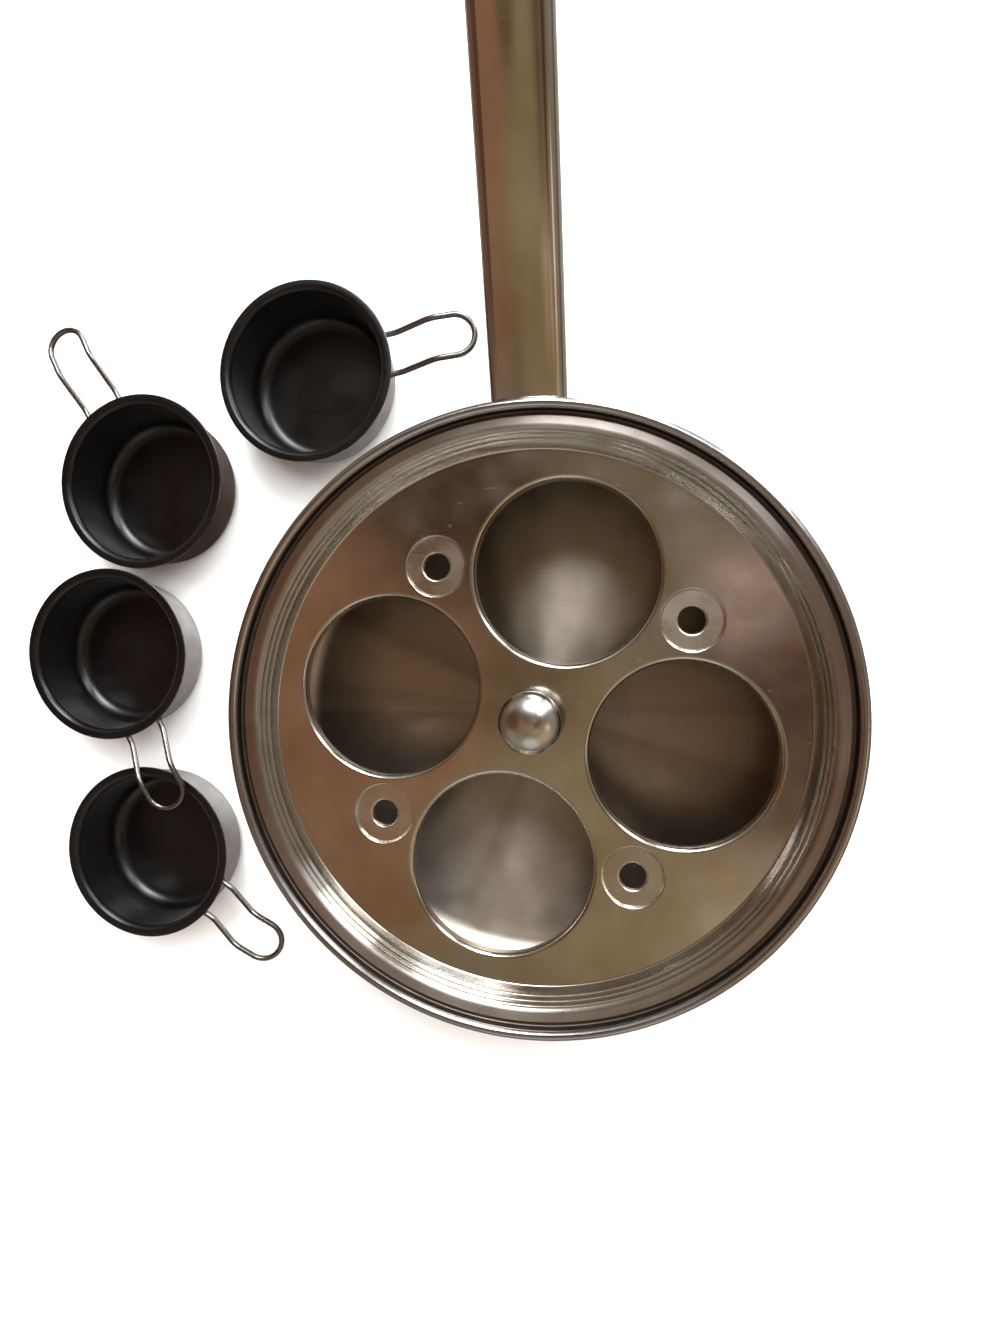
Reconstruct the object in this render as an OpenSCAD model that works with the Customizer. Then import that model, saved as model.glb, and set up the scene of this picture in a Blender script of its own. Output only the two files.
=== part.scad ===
// Egg poacher pan: a shallow stainless pan, its lift-out tray with four cup holes, and four
// coated cups with wire finger loops that stand beside it.
// Millimetres. The origin is the centre of the pan's base, on the surface that it stands on.
// +Z is up and the handle points along +Y.

/* [Pan] */
// Diameter over the rolled rim
pan_rim_d = 213; // [211:1:256]
// Height of the rim above the stove
pan_h = 52; // [48:1:80]
// Sheet thickness of the pan
pan_t = 0.9; // [0.7:0.1:1.2]
// Radius of the bend between the pan's floor and its wall
pan_corner_r = 9; // [6:0.5:14]
// How much narrower the pan is at its floor than at its seat, on the radius
pan_draft = 1.2; // [0:0.1:3]
// Depth of the tray's seat under the rim
seat_depth = 4.2; // [4:0.1:8]
// Width of the seat that the tray's flange rests on
seat_w = 4.5; // [3.6:0.1:6]
// Width of the rolled rim
rim_roll_w = 3.4; // [3:0.1:4.5]
// Diameter of the heat-spreading base
base_d = 168; // [140:1:174]
// Height of the heat-spreading base
base_h = 4.2; // [3.5:0.1:7]
// Sheet thickness of the cap round the base
base_cap_t = 0.6; // [0.5:0.1:1]

/* [Handle] */
// Length of the handle from the pan's wall to its end
handle_len = 165; // [130:1:200]
// Width of the handle
handle_w = 25.5; // [20:0.5:31]
// Thickness of the handle
handle_h = 12; // [10:0.5:16]
// Rise of the handle, in degrees
handle_slope = 22; // [8:0.5:26]
// Sheet thickness of the handle
handle_t = 1; // [0.8:0.1:1.4]
// Radius of the handle's long edges
handle_edge_r = 4.2; // [3:0.1:4.8]
// Depth of the handle's top under the pan's rim, at the wall
handle_drop = 7.4; // [6.5:0.1:12]
// Diameter of the hanging hole
hang_d = 9; // [6:0.5:11]
// Distance of the hanging hole from the handle's end
hang_inset = 13; // [12:0.5:20]

/* [Tray] */
// Sheet thickness of the tray
tray_t = 0.7; // [0.6:0.1:1]
// Width of the tray's flat flange
flange_w = 3.6; // [3.2:0.1:5]
// Clearance between the tray's flange and the pan's rim, on the radius
flange_gap = 1.8; // [0.8:0.1:2]
// Depth of the tray's floor under its flange
tray_depth = 7.4; // [6.5:0.1:12]
// How far the tray's wall leans out, from its foot to the flange
tray_lean = 5.3; // [4.5:0.1:6.5]
// Diameter of a cup hole
cup_hole_d = 63; // [52:0.5:63.5]
// Flat left between a cup hole and the foot of the tray's wall
cup_hole_margin = 9.2; // [9:0.1:10.5]
// Turn of the first cup hole from +X towards the handle, in degrees
cup_hole_turn = 77; // [70:1:84]
// Depth of a cup hole's collar
collar_h = 3.6; // [3:0.1:6]
// Diameter of a steam vent
vent_d = 9; // [6:0.5:10]
// Diameter of the round recess about a vent
vent_pad_d = 21.6; // [18:0.2:22]
// Depth of that recess
vent_pad_depth = 0.9; // [0.5:0.1:1.4]
// Flat left between a vent's recess and the foot of the tray's wall
vent_margin = 18.6; // [16:0.1:19]

/* [Knob] */
// Diameter of the knob
knob_d = 21.4; // [16:0.2:26]
// Height of the knob above the tray's floor
knob_h = 17; // [15:0.5:22]
// Sheet thickness of the knob's dome
knob_t = 0.8; // [0.6:0.1:1]
// Diameter of the knob's screw
screw_d = 4; // [3:0.5:5]

/* [Cups] */
// How far a cup's flat rim stands out from its wall
cup_flange_w = 3.2; // [2.6:0.1:4.5]
// Height of a cup
cup_h = 24; // [22:0.5:34]
// Sheet thickness of a cup
cup_t = 0.9; // [0.7:0.1:1.2]
// Clearance between a cup's wall and its hole in the tray, on the radius
cup_gap = 0.7; // [0.4:0.1:1.2]
// Radius of the bend at the foot of a cup
cup_corner_r = 6.5; // [5:0.5:9]
// How much narrower a cup is at its foot than at its neck, on the radius
cup_draft = 0.6; // [0:0.1:2]
// Diameter of the wire
wire_d = 2.1; // [1.6:0.05:2.2]
// Width of a finger loop, between wire centres
loop_w = 14.8; // [12:0.2:18]
// Reach of a finger loop's tip past the cup's rim
loop_reach = 33.6; // [30:0.2:44]
// Rise of a finger loop's legs, in degrees
loop_rise = 22; // [22:1:28]
// Fall of a finger loop's end, in degrees
loop_fall = 8; // [2:1:9]

/* [Hidden] */
$fn = 96;

// How the cups stand beside the pan, one row for each: the gap to the pan's rim, or from the
// second on to the rim of the cup before, the direction from there, and the loop's direction
cup_rows = [[16.17, 123.86, 8], [10.58, 209.34, 117.7], [1.51, 256.18, -64.2], [12.37, 280.97, -32.7]];

// A small cut-through, so that no cut ends on the face that it leaves
over = 1;
// Straight pieces that stand for a quarter bend in a pressed profile
bend_steps = 6;

// Pan, on the middle line of its sheet unless a name says otherwise
rim_roll_r = (rim_roll_w - pan_t) / 2;
rim_roll_x = pan_rim_d / 2 - rim_roll_w / 2;
rim_wall_r = rim_roll_x - rim_roll_r;
seat_top_z = pan_h - seat_depth;
seat_z = seat_top_z - pan_t / 2;
pan_wall_r = rim_wall_r - seat_w;
pan_floor_r = pan_wall_r - pan_draft;
pan_floor_z = base_h + pan_t / 2;
pan_bend_r = 1.2;

// Tray, on the middle line of its sheet
flange_r = rim_wall_r - pan_t / 2 - flange_gap;
flange_z = seat_top_z + tray_t / 2;
tray_wall_r = flange_r - flange_w;
tray_floor_z = flange_z - tray_depth;
tray_top_z = tray_floor_z + tray_t / 2;
// Slanting wall with fine pressed beads, placed by their share of the wall's length
tray_wall_len = norm([tray_lean, tray_depth]);
tray_beads = [0.41, 0.62, 0.82];
bead_h = 0.06;
bead_half_w = 0.3;
tray_foot_bend_r = 1.2;
tray_top_bend_r = 2;
collar_bend_r = 1.3;
collar_r = cup_hole_d / 2 + tray_t / 2;
collar_join_r = collar_r + collar_bend_r + 0.8;
tray_floor_r = tray_wall_r - tray_lean;
cup_hole_pitch_r = tray_floor_r - cup_hole_margin - cup_hole_d / 2;
vent_pitch_r = tray_floor_r - vent_margin - vent_pad_d / 2;
vent_bend_r = 0.6;
vent_r = vent_d / 2 + tray_t / 2;
vent_join_r = vent_pad_d / 2 + 0.6;
knob_hole_d = screw_d + 0.6;

// Knob
dome_seat_z = tray_top_z + 0.5 * knob_h;
dome_widest_z = tray_top_z + 0.62 * knob_h;
dome_top_z = tray_top_z + knob_h;
boss_r = 0.3 * knob_d;
boss_foot_r = boss_r + 1.2;
boss_foot_h = 1.6;
screw_depth = 0.55 * knob_h;
washer_d = 2.6 * screw_d;
washer_t = 0.8;
screw_head_d = 1.9 * screw_d;
screw_head_h = 0.55 * screw_d;
thread_gap = 0.05;

// Cups and wires
cup_wall_r = cup_hole_d / 2 - cup_gap;
cup_rim_r = cup_wall_r + cup_flange_w;
cup_flange_z = cup_h - cup_t / 2;
cup_neck_bend_r = 1.8;
wire_r = wire_d / 2;
ring_gap = 0.05;
// The ring nests in the hollow under the cup's rim, clear of its wall, its rim and the bend between
neck_hollow_r = cup_neck_bend_r - cup_t / 2;
ring_nest = max(wire_r + ring_gap, neck_hollow_r - (neck_hollow_r - wire_r - ring_gap) / sqrt(2));
ring_r = cup_wall_r + ring_nest;
ring_z = cup_h - cup_t - ring_nest;
loop_root_bend_r = 3.5;
loop_up_bend_r = 8;
loop_down_bend_r = 10;
loop_end_r = loop_w / 2;
// Half the angle that the ring leaves open at the loop
ring_open = asin((loop_end_r + loop_root_bend_r) / (ring_r + loop_root_bend_r));
loop_root_x = (ring_r + loop_root_bend_r) * cos(ring_open);
// The legs stay level until they are clear of the cup's rim
leg_level = max(0.6, cup_rim_r + wire_r + 0.4 - loop_root_x);
loop_centre_x = cup_rim_r + loop_reach - wire_r - loop_end_r * cos(loop_fall);
leg_end = 5.4;
leg_straight = (loop_centre_x - loop_root_x - leg_level - loop_up_bend_r * sin(loop_rise)
    - loop_down_bend_r * (sin(loop_rise) + sin(loop_fall)) - leg_end * cos(loop_fall)) / cos(loop_rise);

// Handle, drawn along +Y from the pan's wall and then tilted about its root
pan_wall_outer_r = pan_wall_r + pan_t / 2;
saddle_t = 1.5;
saddle_w = handle_w + 3;
saddle_h = 20;
saddle_gap = 0.05;
saddle_top_z = seat_z - pan_bend_r - 0.1;
tongue_len = 26;
tongue_t = 2;
handle_root_z = pan_h - handle_drop;
handle_seam = 0.42 * handle_h;
hang_y = handle_len - hang_inset;
hang_collar_t = 1.2;

// Points of an arc that joins two straight runs at corner b, coming from a and going to c
function bend_points(a, b, c, r, steps) =
    let (
        u = (a - b) / norm(a - b),
        v = (c - b) / norm(c - b),
        turn = 180 - acos(max(-1, min(1, u * v))),
        reach = r * tan(turn / 2),
        m = (u + v) / norm(u + v),
        centre = b + m * (r / cos(turn / 2)),
        first = b + u * reach,
        last = b + v * reach,
        side = sign(u[0] * v[1] - u[1] * v[0]),
        spin = side * turn
    )
    [for (i = [0:steps])
        let (
            k = -spin * i / steps,
            d = first - centre
        )
        centre + [d[0] * cos(k) - d[1] * sin(k), d[0] * sin(k) + d[1] * cos(k)]
    ];

// Middle line of a sheet: corners are [radius, height, bend radius], the ends have no bend
function midline(corners) = [
    for (i = [0:len(corners) - 1])
        let (p = [corners[i][0], corners[i][1]])
        for (q = (i == 0 || i == len(corners) - 1) ? [p]
            : bend_points([corners[i - 1][0], corners[i - 1][1]], p,
                [corners[i + 1][0], corners[i + 1][1]], corners[i][2], bend_steps))
            q
];

function left_of(d) = [-d[1], d[0]];

// The line moved sideways, with its corners mitred
function sideways(line, by) = [
    for (i = [0:len(line) - 1])
        let (
            before = i == 0 ? line[1] - line[0] : line[i] - line[i - 1],
            after = i == len(line) - 1 ? line[i] - line[i - 1] : line[i + 1] - line[i],
            m = left_of(before / norm(before)) + left_of(after / norm(after)),
            unit = m / norm(m),
            share = unit * left_of(before / norm(before))
        )
        line[i] + unit * (by / share)
];

function backwards(list) = [for (i = [len(list) - 1:-1:0]) list[i]];

// A sheet of one thickness round a middle line, turned about the Z axis
module spun_line(line, thickness) {
    rotate_extrude()
        polygon(concat(sideways(line, thickness / 2), backwards(sideways(line, -thickness / 2))));
}

// A pressed or spun sheet with bends at its corners
module spun_sheet(corners, thickness) {
    spun_line(midline(corners), thickness);
}

// One ring of a round sweep: points about place p, with side u and up v
function ring_points(p, u, v, r, sides) = [
    for (k = [0:sides - 1])
        p + u * (r * cos(360 * k / sides)) + v * (r * sin(360 * k / sides))
];

// A round wire along a path, with its ends closed flat
module wire(path, r, sides) {
    n = len(path);
    rings = [
        for (i = [0:n - 1])
            let (
                d = path[min(n - 1, i + 1)] - path[max(0, i - 1)],
                t = d / norm(d),
                flat = cross([0, 0, 1], t),
                u = flat / norm(flat),
                v = cross(t, u)
            )
            ring_points(path[i], u, v, r, sides)
    ];
    points = [for (ring = rings) for (p = ring) p];
    skin = [
        for (i = [0:n - 2])
            for (k = [0:sides - 1])
                let (
                    a = i * sides + k,
                    b = i * sides + (k + 1) % sides
                )
                each [[a, a + sides, b + sides], [a, b + sides, b]]
    ];
    start_cap = [for (k = [0:sides - 1]) k];
    end_cap = [for (k = [sides - 1:-1:0]) (n - 1) * sides + k];
    polyhedron(points, concat(skin, [start_cap], [end_cap]), convexity = 8);
}

// Half of a finger loop's side view, from the ring to the tip: [distance out, height]
function leg_profile() =
    let (
        x1 = loop_root_x + leg_level,
        z1 = ring_z,
        x2 = x1 + loop_up_bend_r * sin(loop_rise),
        z2 = z1 + loop_up_bend_r * (1 - cos(loop_rise)),
        x3 = x2 + leg_straight * cos(loop_rise),
        z3 = z2 + leg_straight * sin(loop_rise),
        cx = x3 + loop_down_bend_r * sin(loop_rise),
        cz = z3 - loop_down_bend_r * cos(loop_rise)
    )
    concat(
        [for (a = [0:loop_rise / 3:loop_rise])
            [x1 + loop_up_bend_r * sin(a), z1 + loop_up_bend_r * (1 - cos(a))]],
        [for (a = [loop_rise:-(loop_rise + loop_fall) / 4:-loop_fall - 0.01])
            [cx - loop_down_bend_r * sin(a), cz + loop_down_bend_r * cos(a)]]
    );

// The whole wire: up one leg, round the tip, down the other leg and round the ring
function loop_path() =
    let (
        side = leg_profile(),
        last = side[len(side) - 1],
        end = last + [leg_end * cos(loop_fall), -leg_end * sin(loop_fall)],
        root_centre = (ring_r + loop_root_bend_r) * [cos(ring_open), sin(ring_open)],
        root = [for (i = [0:4])
            let (a = 180 + ring_open + (90 - ring_open) * i / 4)
            [root_centre[0] + loop_root_bend_r * cos(a), root_centre[1] + loop_root_bend_r * sin(a), ring_z]],
        leg = [for (p = side) [p[0], loop_end_r, p[1]]],
        tip = [for (a = [90:-15:-90])
            [end[0] + loop_end_r * cos(a) * cos(loop_fall), loop_end_r * sin(a),
             end[1] - loop_end_r * cos(a) * sin(loop_fall)]],
        half = concat(root, leg),
        ring = [for (a = [-ring_open - 6:-6:-360 + ring_open + 6]) [ring_r * cos(a), ring_r * sin(a), ring_z]]
    )
    concat(half, tip, [for (p = backwards(half)) [p[0], -p[1], p[2]]], ring);

// Centre of a cup: a chain that starts at the pan's rim
function cup_centre(i) =
    let (
        row = cup_rows[i],
        way = [cos(row[1]), sin(row[1])]
    )
    i == 0 ? way * (pan_rim_d / 2 + cup_rim_r + row[0])
        : cup_centre(i - 1) + way * (2 * cup_rim_r + row[0]);

// Put a thing at one of the cups' places, its +X along the finger loop
module at_cup(i) {
    translate(cup_centre(i))
        rotate([0, 0, cup_rows[i][2]])
            children();
}

module cup_shell(i) {
    color([0.13, 0.13, 0.13])
        at_cup(i)
            spun_sheet([
                [0, cup_t / 2],
                [cup_wall_r - cup_draft - cup_t / 2, cup_t / 2, cup_corner_r],
                [cup_wall_r - cup_t / 2, cup_flange_z, cup_neck_bend_r],
                [cup_rim_r, cup_flange_z]
            ], cup_t);
}

module cup_wire(i) {
    color([0.62, 0.62, 0.6])
        at_cup(i)
            wire(loop_path(), wire_r, 8);
}

// Drawn shell of the pan, from the middle of its floor to the end of the rolled rim
module pan_body() {
    roll_z = pan_h - pan_t / 2 - rim_roll_r;
    roll = [for (a = [180:-20:-60]) [rim_roll_x + rim_roll_r * cos(a), roll_z + rim_roll_r * sin(a)]];
    line = concat(
        midline([
            [0, pan_floor_z],
            [pan_floor_r, pan_floor_z, pan_corner_r],
            [pan_wall_r, seat_z, pan_bend_r],
            [rim_wall_r, seat_z, pan_bend_r],
            [rim_wall_r, roll_z]
        ]),
        [for (i = [1:len(roll) - 1]) roll[i]]
    );
    color([0.72, 0.7, 0.67])
        spun_line(line, pan_t);
}

// Disc that spreads the heat, its lower edge eased to lie in the cap's bend
module base_core() {
    r = base_d / 2 - base_cap_t - 0.1;
    color([0.8, 0.8, 0.8])
        rotate_extrude()
            polygon([
                [0, base_cap_t], [r - 0.6, base_cap_t], [r, base_cap_t + 0.6], [r, base_h], [0, base_h]
            ]);
}

// Cap of the base: a flat dish that is pressed up round the disc
module base_cap() {
    color([0.68, 0.67, 0.65])
        spun_sheet([
            [0, base_cap_t / 2],
            [base_d / 2 - base_cap_t / 2, base_cap_t / 2, 0.9],
            [base_d / 2 - base_cap_t / 2, base_h]
        ], base_cap_t);
}

// Turn the handle's own frame to its place on the pan's wall
module at_handle() {
    translate([0, pan_wall_outer_r, handle_root_z])
        rotate([handle_slope, 0, 0])
            children();
}

// Cross-section of the handle, its top at height 0
module handle_section(w, h, r) {
    translate([0, -h])
        union() {
            translate([-w / 2 + r, 0])
                square([w - 2 * r, h]);
            translate([-w / 2, r])
                square([w, h - 2 * r]);
            for (x = [-w / 2 + r, w / 2 - r], y = [r, h - r])
                translate([x, y])
                    circle(r);
        }
}

// A full bar with the handle's section and a round end, inset on every side
module handle_bar(inset) {
    w = handle_w - 2 * inset;
    root = saddle_t + inset - 14;
    intersection() {
        translate([0, handle_len + over, -inset])
            rotate([90, 0, 0])
                linear_extrude(handle_len + over - root)
                    handle_section(w, handle_h - 2 * inset, handle_edge_r - inset);
        translate([0, 0, -handle_h - over])
            linear_extrude(handle_h + 2 * over)
                union() {
                    translate([0, handle_len - handle_w / 2])
                        circle(w / 2);
                    translate([-w / 2, root])
                        square([w, handle_len - handle_w / 2 - root]);
                }
    }
}

// A full cone that stands a given distance outside the pan's slanting wall
module wall_cone(out, low, high) {
    slant = pan_draft / (seat_z - pan_floor_z);
    at_seat = pan_wall_outer_r + out;
    foot_r = at_seat - slant * (seat_z - low);
    top_r = at_seat - slant * (seat_z - high);
    translate([0, 0, low])
        cylinder(h = high - low, r1 = foot_r, r2 = top_r);
}

module handle_shell(low, high, collar) {
    hang_r = hang_d / 2;
    difference() {
        at_handle()
            difference() {
                union() {
                    intersection() {
                        difference() {
                            handle_bar(0);
                            handle_bar(handle_t);
                        }
                        translate([-handle_w, -20, low])
                            cube([2 * handle_w, handle_len + 40, high - low]);
                    }
                    if (collar)
                        translate([0, hang_y, -handle_h + handle_t])
                            cylinder(h = handle_h - handle_t - 0.2, r = hang_r + hang_collar_t);
                }
                translate([0, hang_y, -handle_h - over])
                    cylinder(h = handle_h + 2 * over, r = hang_r);
            }
        wall_cone(saddle_t + 0.04, 0, 3 * pan_h);
    }
}

// Upper shell, with the drawn collar of the hanging hole
module handle_upper() {
    color([0.7, 0.67, 0.62])
        handle_shell(-handle_h + handle_seam, over, true);
}

module handle_lower() {
    color([0.66, 0.64, 0.6])
        handle_shell(-handle_h - over, -handle_h + handle_seam, false);
}

// Curved plate on the pan's wall with the tongue that the hollow handle slides over
module handle_saddle() {
    tongue_w = handle_w - 2 * handle_t - 4;
    color([0.6, 0.6, 0.6]) {
        intersection() {
            difference() {
                wall_cone(saddle_t, saddle_top_z - saddle_h, saddle_top_z);
                wall_cone(saddle_gap, saddle_top_z - saddle_h - over, saddle_top_z + over);
            }
            translate([-saddle_w / 2, 0, 0])
                cube([saddle_w, pan_rim_d, pan_h]);
        }
        difference() {
            at_handle()
                translate([-tongue_w / 2, -6, -handle_h / 2 - tongue_t / 2])
                    cube([tongue_w, tongue_len + 6, tongue_t]);
            wall_cone(saddle_t / 2, 0, 3 * pan_h);
        }
    }
}

// A cup hole's rounded edge and collar, or a vent's, joined to the floor at join_r
module turned_hole(r, depth, bend_r, join_r, floor_z) {
    spun_sheet([
        [r, floor_z - depth],
        [r, floor_z, bend_r],
        [join_r, floor_z]
    ], tray_t);
}

module vent() {
    low = tray_floor_z - vent_pad_depth;
    slope = 0.8 * vent_pad_depth;
    spun_sheet([
        [vent_r, low - 1.6],
        [vent_r, low, vent_bend_r],
        [vent_pad_d / 2 - slope, low, 0.35],
        [vent_pad_d / 2, tray_floor_z, 0.35],
        [vent_join_r, tray_floor_z]
    ], tray_t);
}

module on_circle(r, turn) {
    for (k = [0:3])
        rotate([0, 0, turn + 90 * k])
            translate([r, 0, 0])
                children();
}

// Middle line of the tray's slanting wall with its beads: along is the distance from its foot
function wall_point(along, out) =
    let (u = [tray_lean, tray_depth] / tray_wall_len)
    [tray_floor_r, tray_floor_z] + u * along + left_of(u) * out;

function bead_points(centre) = [
    for (t = [-1:0.5:1])
        wall_point(centre + t * bead_half_w, bead_h * (1 + cos(180 * t)) / 2)
];

module tray() {
    low = wall_point(0.2 * tray_wall_len, 0);
    high = wall_point(0.87 * tray_wall_len, 0);
    line = concat(
        midline([[knob_hole_d / 2, tray_floor_z], [tray_floor_r, tray_floor_z, tray_foot_bend_r], low]),
        [for (share = tray_beads) each bead_points(share * tray_wall_len)],
        midline([high, [tray_wall_r, flange_z, tray_top_bend_r], [flange_r, flange_z]])
    );
    color([0.6, 0.54, 0.46])
        union() {
            difference() {
                spun_line(line, tray_t);
                on_circle(cup_hole_pitch_r, cup_hole_turn)
                    translate([0, 0, tray_floor_z - over])
                        cylinder(h = 2 * over, r = collar_join_r);
                on_circle(vent_pitch_r, cup_hole_turn + 45)
                    translate([0, 0, tray_floor_z - over])
                        cylinder(h = 2 * over, r = vent_join_r);
            }
            on_circle(cup_hole_pitch_r, cup_hole_turn)
                turned_hole(collar_r, collar_h, collar_bend_r, collar_join_r, tray_floor_z);
            on_circle(vent_pitch_r, cup_hole_turn + 45)
                vent();
        }
}

// Hollow dome with its lower edge rolled in
module knob_dome() {
    r = knob_d / 2 - knob_t / 2;
    rise = dome_top_z - knob_t / 2 - dome_widest_z;
    crown = [for (a = [90:-9:0]) [r * cos(a), dome_widest_z + rise * sin(a)]];
    skirt = dome_widest_z - dome_seat_z - knob_t / 2;
    under = [for (a = [-15:-15:-90]) [r - skirt + skirt * cos(a), dome_widest_z + skirt * sin(a)]];
    line = concat(crown, under, [[boss_r + 0.5, dome_widest_z - skirt]]);
    color([0.78, 0.76, 0.72])
        rotate_extrude()
            polygon(concat(
                [for (p = sideways(line, knob_t / 2)) [max(0, p[0]), p[1]]],
                backwards([for (p = sideways(line, -knob_t / 2)) [max(0, p[0]), p[1]]])
            ));
}

// Neck that carries the dome, with a threaded hole for the screw
module knob_boss() {
    top = dome_seat_z + 2.2;
    color([0.7, 0.69, 0.66])
        difference() {
            rotate_extrude()
                polygon(concat(
                    [[0, tray_top_z], [boss_foot_r, tray_top_z], [boss_foot_r, tray_top_z + boss_foot_h]],
                    [for (a = [0:15:90])
                        [boss_foot_r - 2.6 * sin(a), tray_top_z + boss_foot_h + 2.6 * (1 - cos(a))]],
                    [[boss_foot_r - 2.6, dome_seat_z - 0.6], [boss_r + 1.8, dome_seat_z - 0.05],
                     [boss_r + 0.4, dome_seat_z - 0.05], [boss_r + 0.4, top], [0, top]]
                ));
            translate([0, 0, tray_top_z - over])
                cylinder(h = screw_depth + over, r = screw_d / 2 + thread_gap);
        }
}

module knob_screw() {
    head_top = tray_floor_z - tray_t / 2 - washer_t;
    shank_end = tray_top_z + screw_depth - 0.6;
    color([0.6, 0.6, 0.6])
        difference() {
            union() {
                translate([0, 0, head_top - screw_head_h])
                    cylinder(h = screw_head_h, r = screw_head_d / 2);
                translate([0, 0, head_top - 0.5])
                    cylinder(h = shank_end - head_top + 0.5, r = screw_d / 2);
            }
            for (a = [0, 90])
                rotate([0, 0, a])
                    translate([-screw_head_d / 4, -0.5, head_top - screw_head_h - over])
                        cube([screw_head_d / 2, 1, over + 0.45 * screw_head_h]);
        }
}

module knob_washer() {
    color([0.65, 0.65, 0.65])
        translate([0, 0, tray_floor_z - tray_t / 2 - washer_t])
            difference() {
                cylinder(h = washer_t, r = washer_d / 2);
                translate([0, 0, -over])
                    cylinder(h = washer_t + 2 * over, r = knob_hole_d / 2);
            }
}

pan_body();
base_core();
base_cap();
handle_saddle();
handle_upper();
handle_lower();
tray();
knob_dome();
knob_boss();
knob_screw();
knob_washer();
cup_shell(0);  // cup_1
cup_shell(1);  // cup_2
cup_shell(2);  // cup_3
cup_shell(3);  // cup_4
cup_wire(0);  // cup_wire_1
cup_wire(1);  // cup_wire_2
cup_wire(2);  // cup_wire_3
cup_wire(3);  // cup_wire_4
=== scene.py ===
"""Looks of a stainless egg poacher pan, its lift-out tray and its four loose cups.

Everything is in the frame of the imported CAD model: the pan stands on z = 0, its handle points
along +Y, and the cups stand on the -X side. Sizes in the classes are millimetres, as in the CAD
source, and every mesh is made in metres.
"""

import logging
import math
import sys
from dataclasses import dataclass
from enum import Enum
from typing import Callable, Sequence

import bpy
from mathutils import Matrix, Vector

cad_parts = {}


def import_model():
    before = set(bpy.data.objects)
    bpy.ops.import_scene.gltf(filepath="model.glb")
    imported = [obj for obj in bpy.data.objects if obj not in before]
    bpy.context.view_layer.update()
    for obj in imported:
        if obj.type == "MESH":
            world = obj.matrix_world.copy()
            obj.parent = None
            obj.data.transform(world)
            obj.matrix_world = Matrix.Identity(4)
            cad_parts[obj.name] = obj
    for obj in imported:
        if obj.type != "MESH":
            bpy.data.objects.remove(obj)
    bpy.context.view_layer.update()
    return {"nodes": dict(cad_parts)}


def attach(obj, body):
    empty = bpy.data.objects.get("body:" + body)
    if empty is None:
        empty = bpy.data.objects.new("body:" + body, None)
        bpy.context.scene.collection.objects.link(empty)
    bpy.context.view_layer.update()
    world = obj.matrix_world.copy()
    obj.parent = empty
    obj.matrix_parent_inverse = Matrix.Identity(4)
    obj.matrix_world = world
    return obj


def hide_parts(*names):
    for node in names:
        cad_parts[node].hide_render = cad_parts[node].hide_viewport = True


LOG = logging.getLogger("egg_poacher")
MM = 0.001
FULL_TURN = 2 * math.pi
# Points nearer to each other than this, in metres, become one
MERGE = 2e-6


# ---------------------------------------------------------------- lines and outlines


@dataclass(frozen=True)
class Corner:
    """A corner of a pressed sheet's middle line: radius, height and the radius of its bend."""

    r: float
    z: float
    bend: float = 0.0


def polar(radius: float, degrees: float) -> Vector:
    """Point on a circle about the origin.

    Args:
        radius: distance from the origin.
        degrees: direction, anticlockwise from the first axis.

    Returns:
        The 2D point.
    """
    return Vector((radius * math.cos(math.radians(degrees)), radius * math.sin(math.radians(degrees))))


def bend_arc(a: Vector, b: Vector, c: Vector, radius: float, step: float) -> list[Vector]:
    """Arc that rounds corner b between the runs from a and to c.

    Args:
        a: a point on the run before the corner.
        b: the corner.
        c: a point on the run after the corner.
        radius: radius of the arc.
        step: degrees between points.

    Returns:
        Points of the arc.
    """
    u, v = (a - b).normalized(), (c - b).normalized()
    turn = math.pi - u.angle(v)
    steps = max(3, math.ceil(math.degrees(turn) / step))
    centre = b + (u + v).normalized() * (radius / math.cos(turn / 2))
    arm = b + u * (radius * math.tan(turn / 2)) - centre
    spin = -math.copysign(turn, u.x * v.y - u.y * v.x)
    return [centre + Matrix.Rotation(spin * i / steps, 2) @ arm for i in range(steps + 1)]


def sheet_line(corners: Sequence[Corner], guard: float = 0.3, step: float = 7.0) -> list[Vector]:
    """Middle line of a pressed sheet, with its bends as arcs.

    Args:
        corners: corners from one end to the other; the two ends have no bend.
        guard: distance of the extra points on each side of a bend, which keep flat runs flat
            in smooth shading.
        step: degrees between the points of a bend.

    Returns:
        Points of the line as (radius, height).
    """
    flat = [Vector((c.r, c.z)) for c in corners]
    line = [flat[0]]
    for i in range(1, len(corners) - 1):
        arc = bend_arc(flat[i - 1], flat[i], flat[i + 1], corners[i].bend, step)
        before, after = arc[0] - line[-1], flat[i + 1] - arc[-1]
        line.append(arc[0] - before.normalized() * min(guard, 0.4 * before.length))
        line.extend(arc)
        line.append(arc[-1] + after.normalized() * min(guard, 0.4 * after.length))
    line.append(flat[-1])
    return line


def offset_line(line: Sequence[Vector], by: float) -> list[Vector]:
    """The line moved to its left by a distance, with mitred corners.

    Args:
        line: points of the line.
        by: distance, negative for the right side.

    Returns:
        The moved points.
    """
    moved = []
    for i, point in enumerate(line):
        before = (line[i] - line[i - 1] if i else line[1] - line[0]).normalized()
        after = (line[i + 1] - line[i] if i < len(line) - 1 else line[i] - line[i - 1]).normalized()
        left_before = Vector((-before.y, before.x))
        mitre = (left_before + Vector((-after.y, after.x))).normalized()
        moved.append(point + mitre * (by / mitre.dot(left_before)))
    return moved


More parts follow.
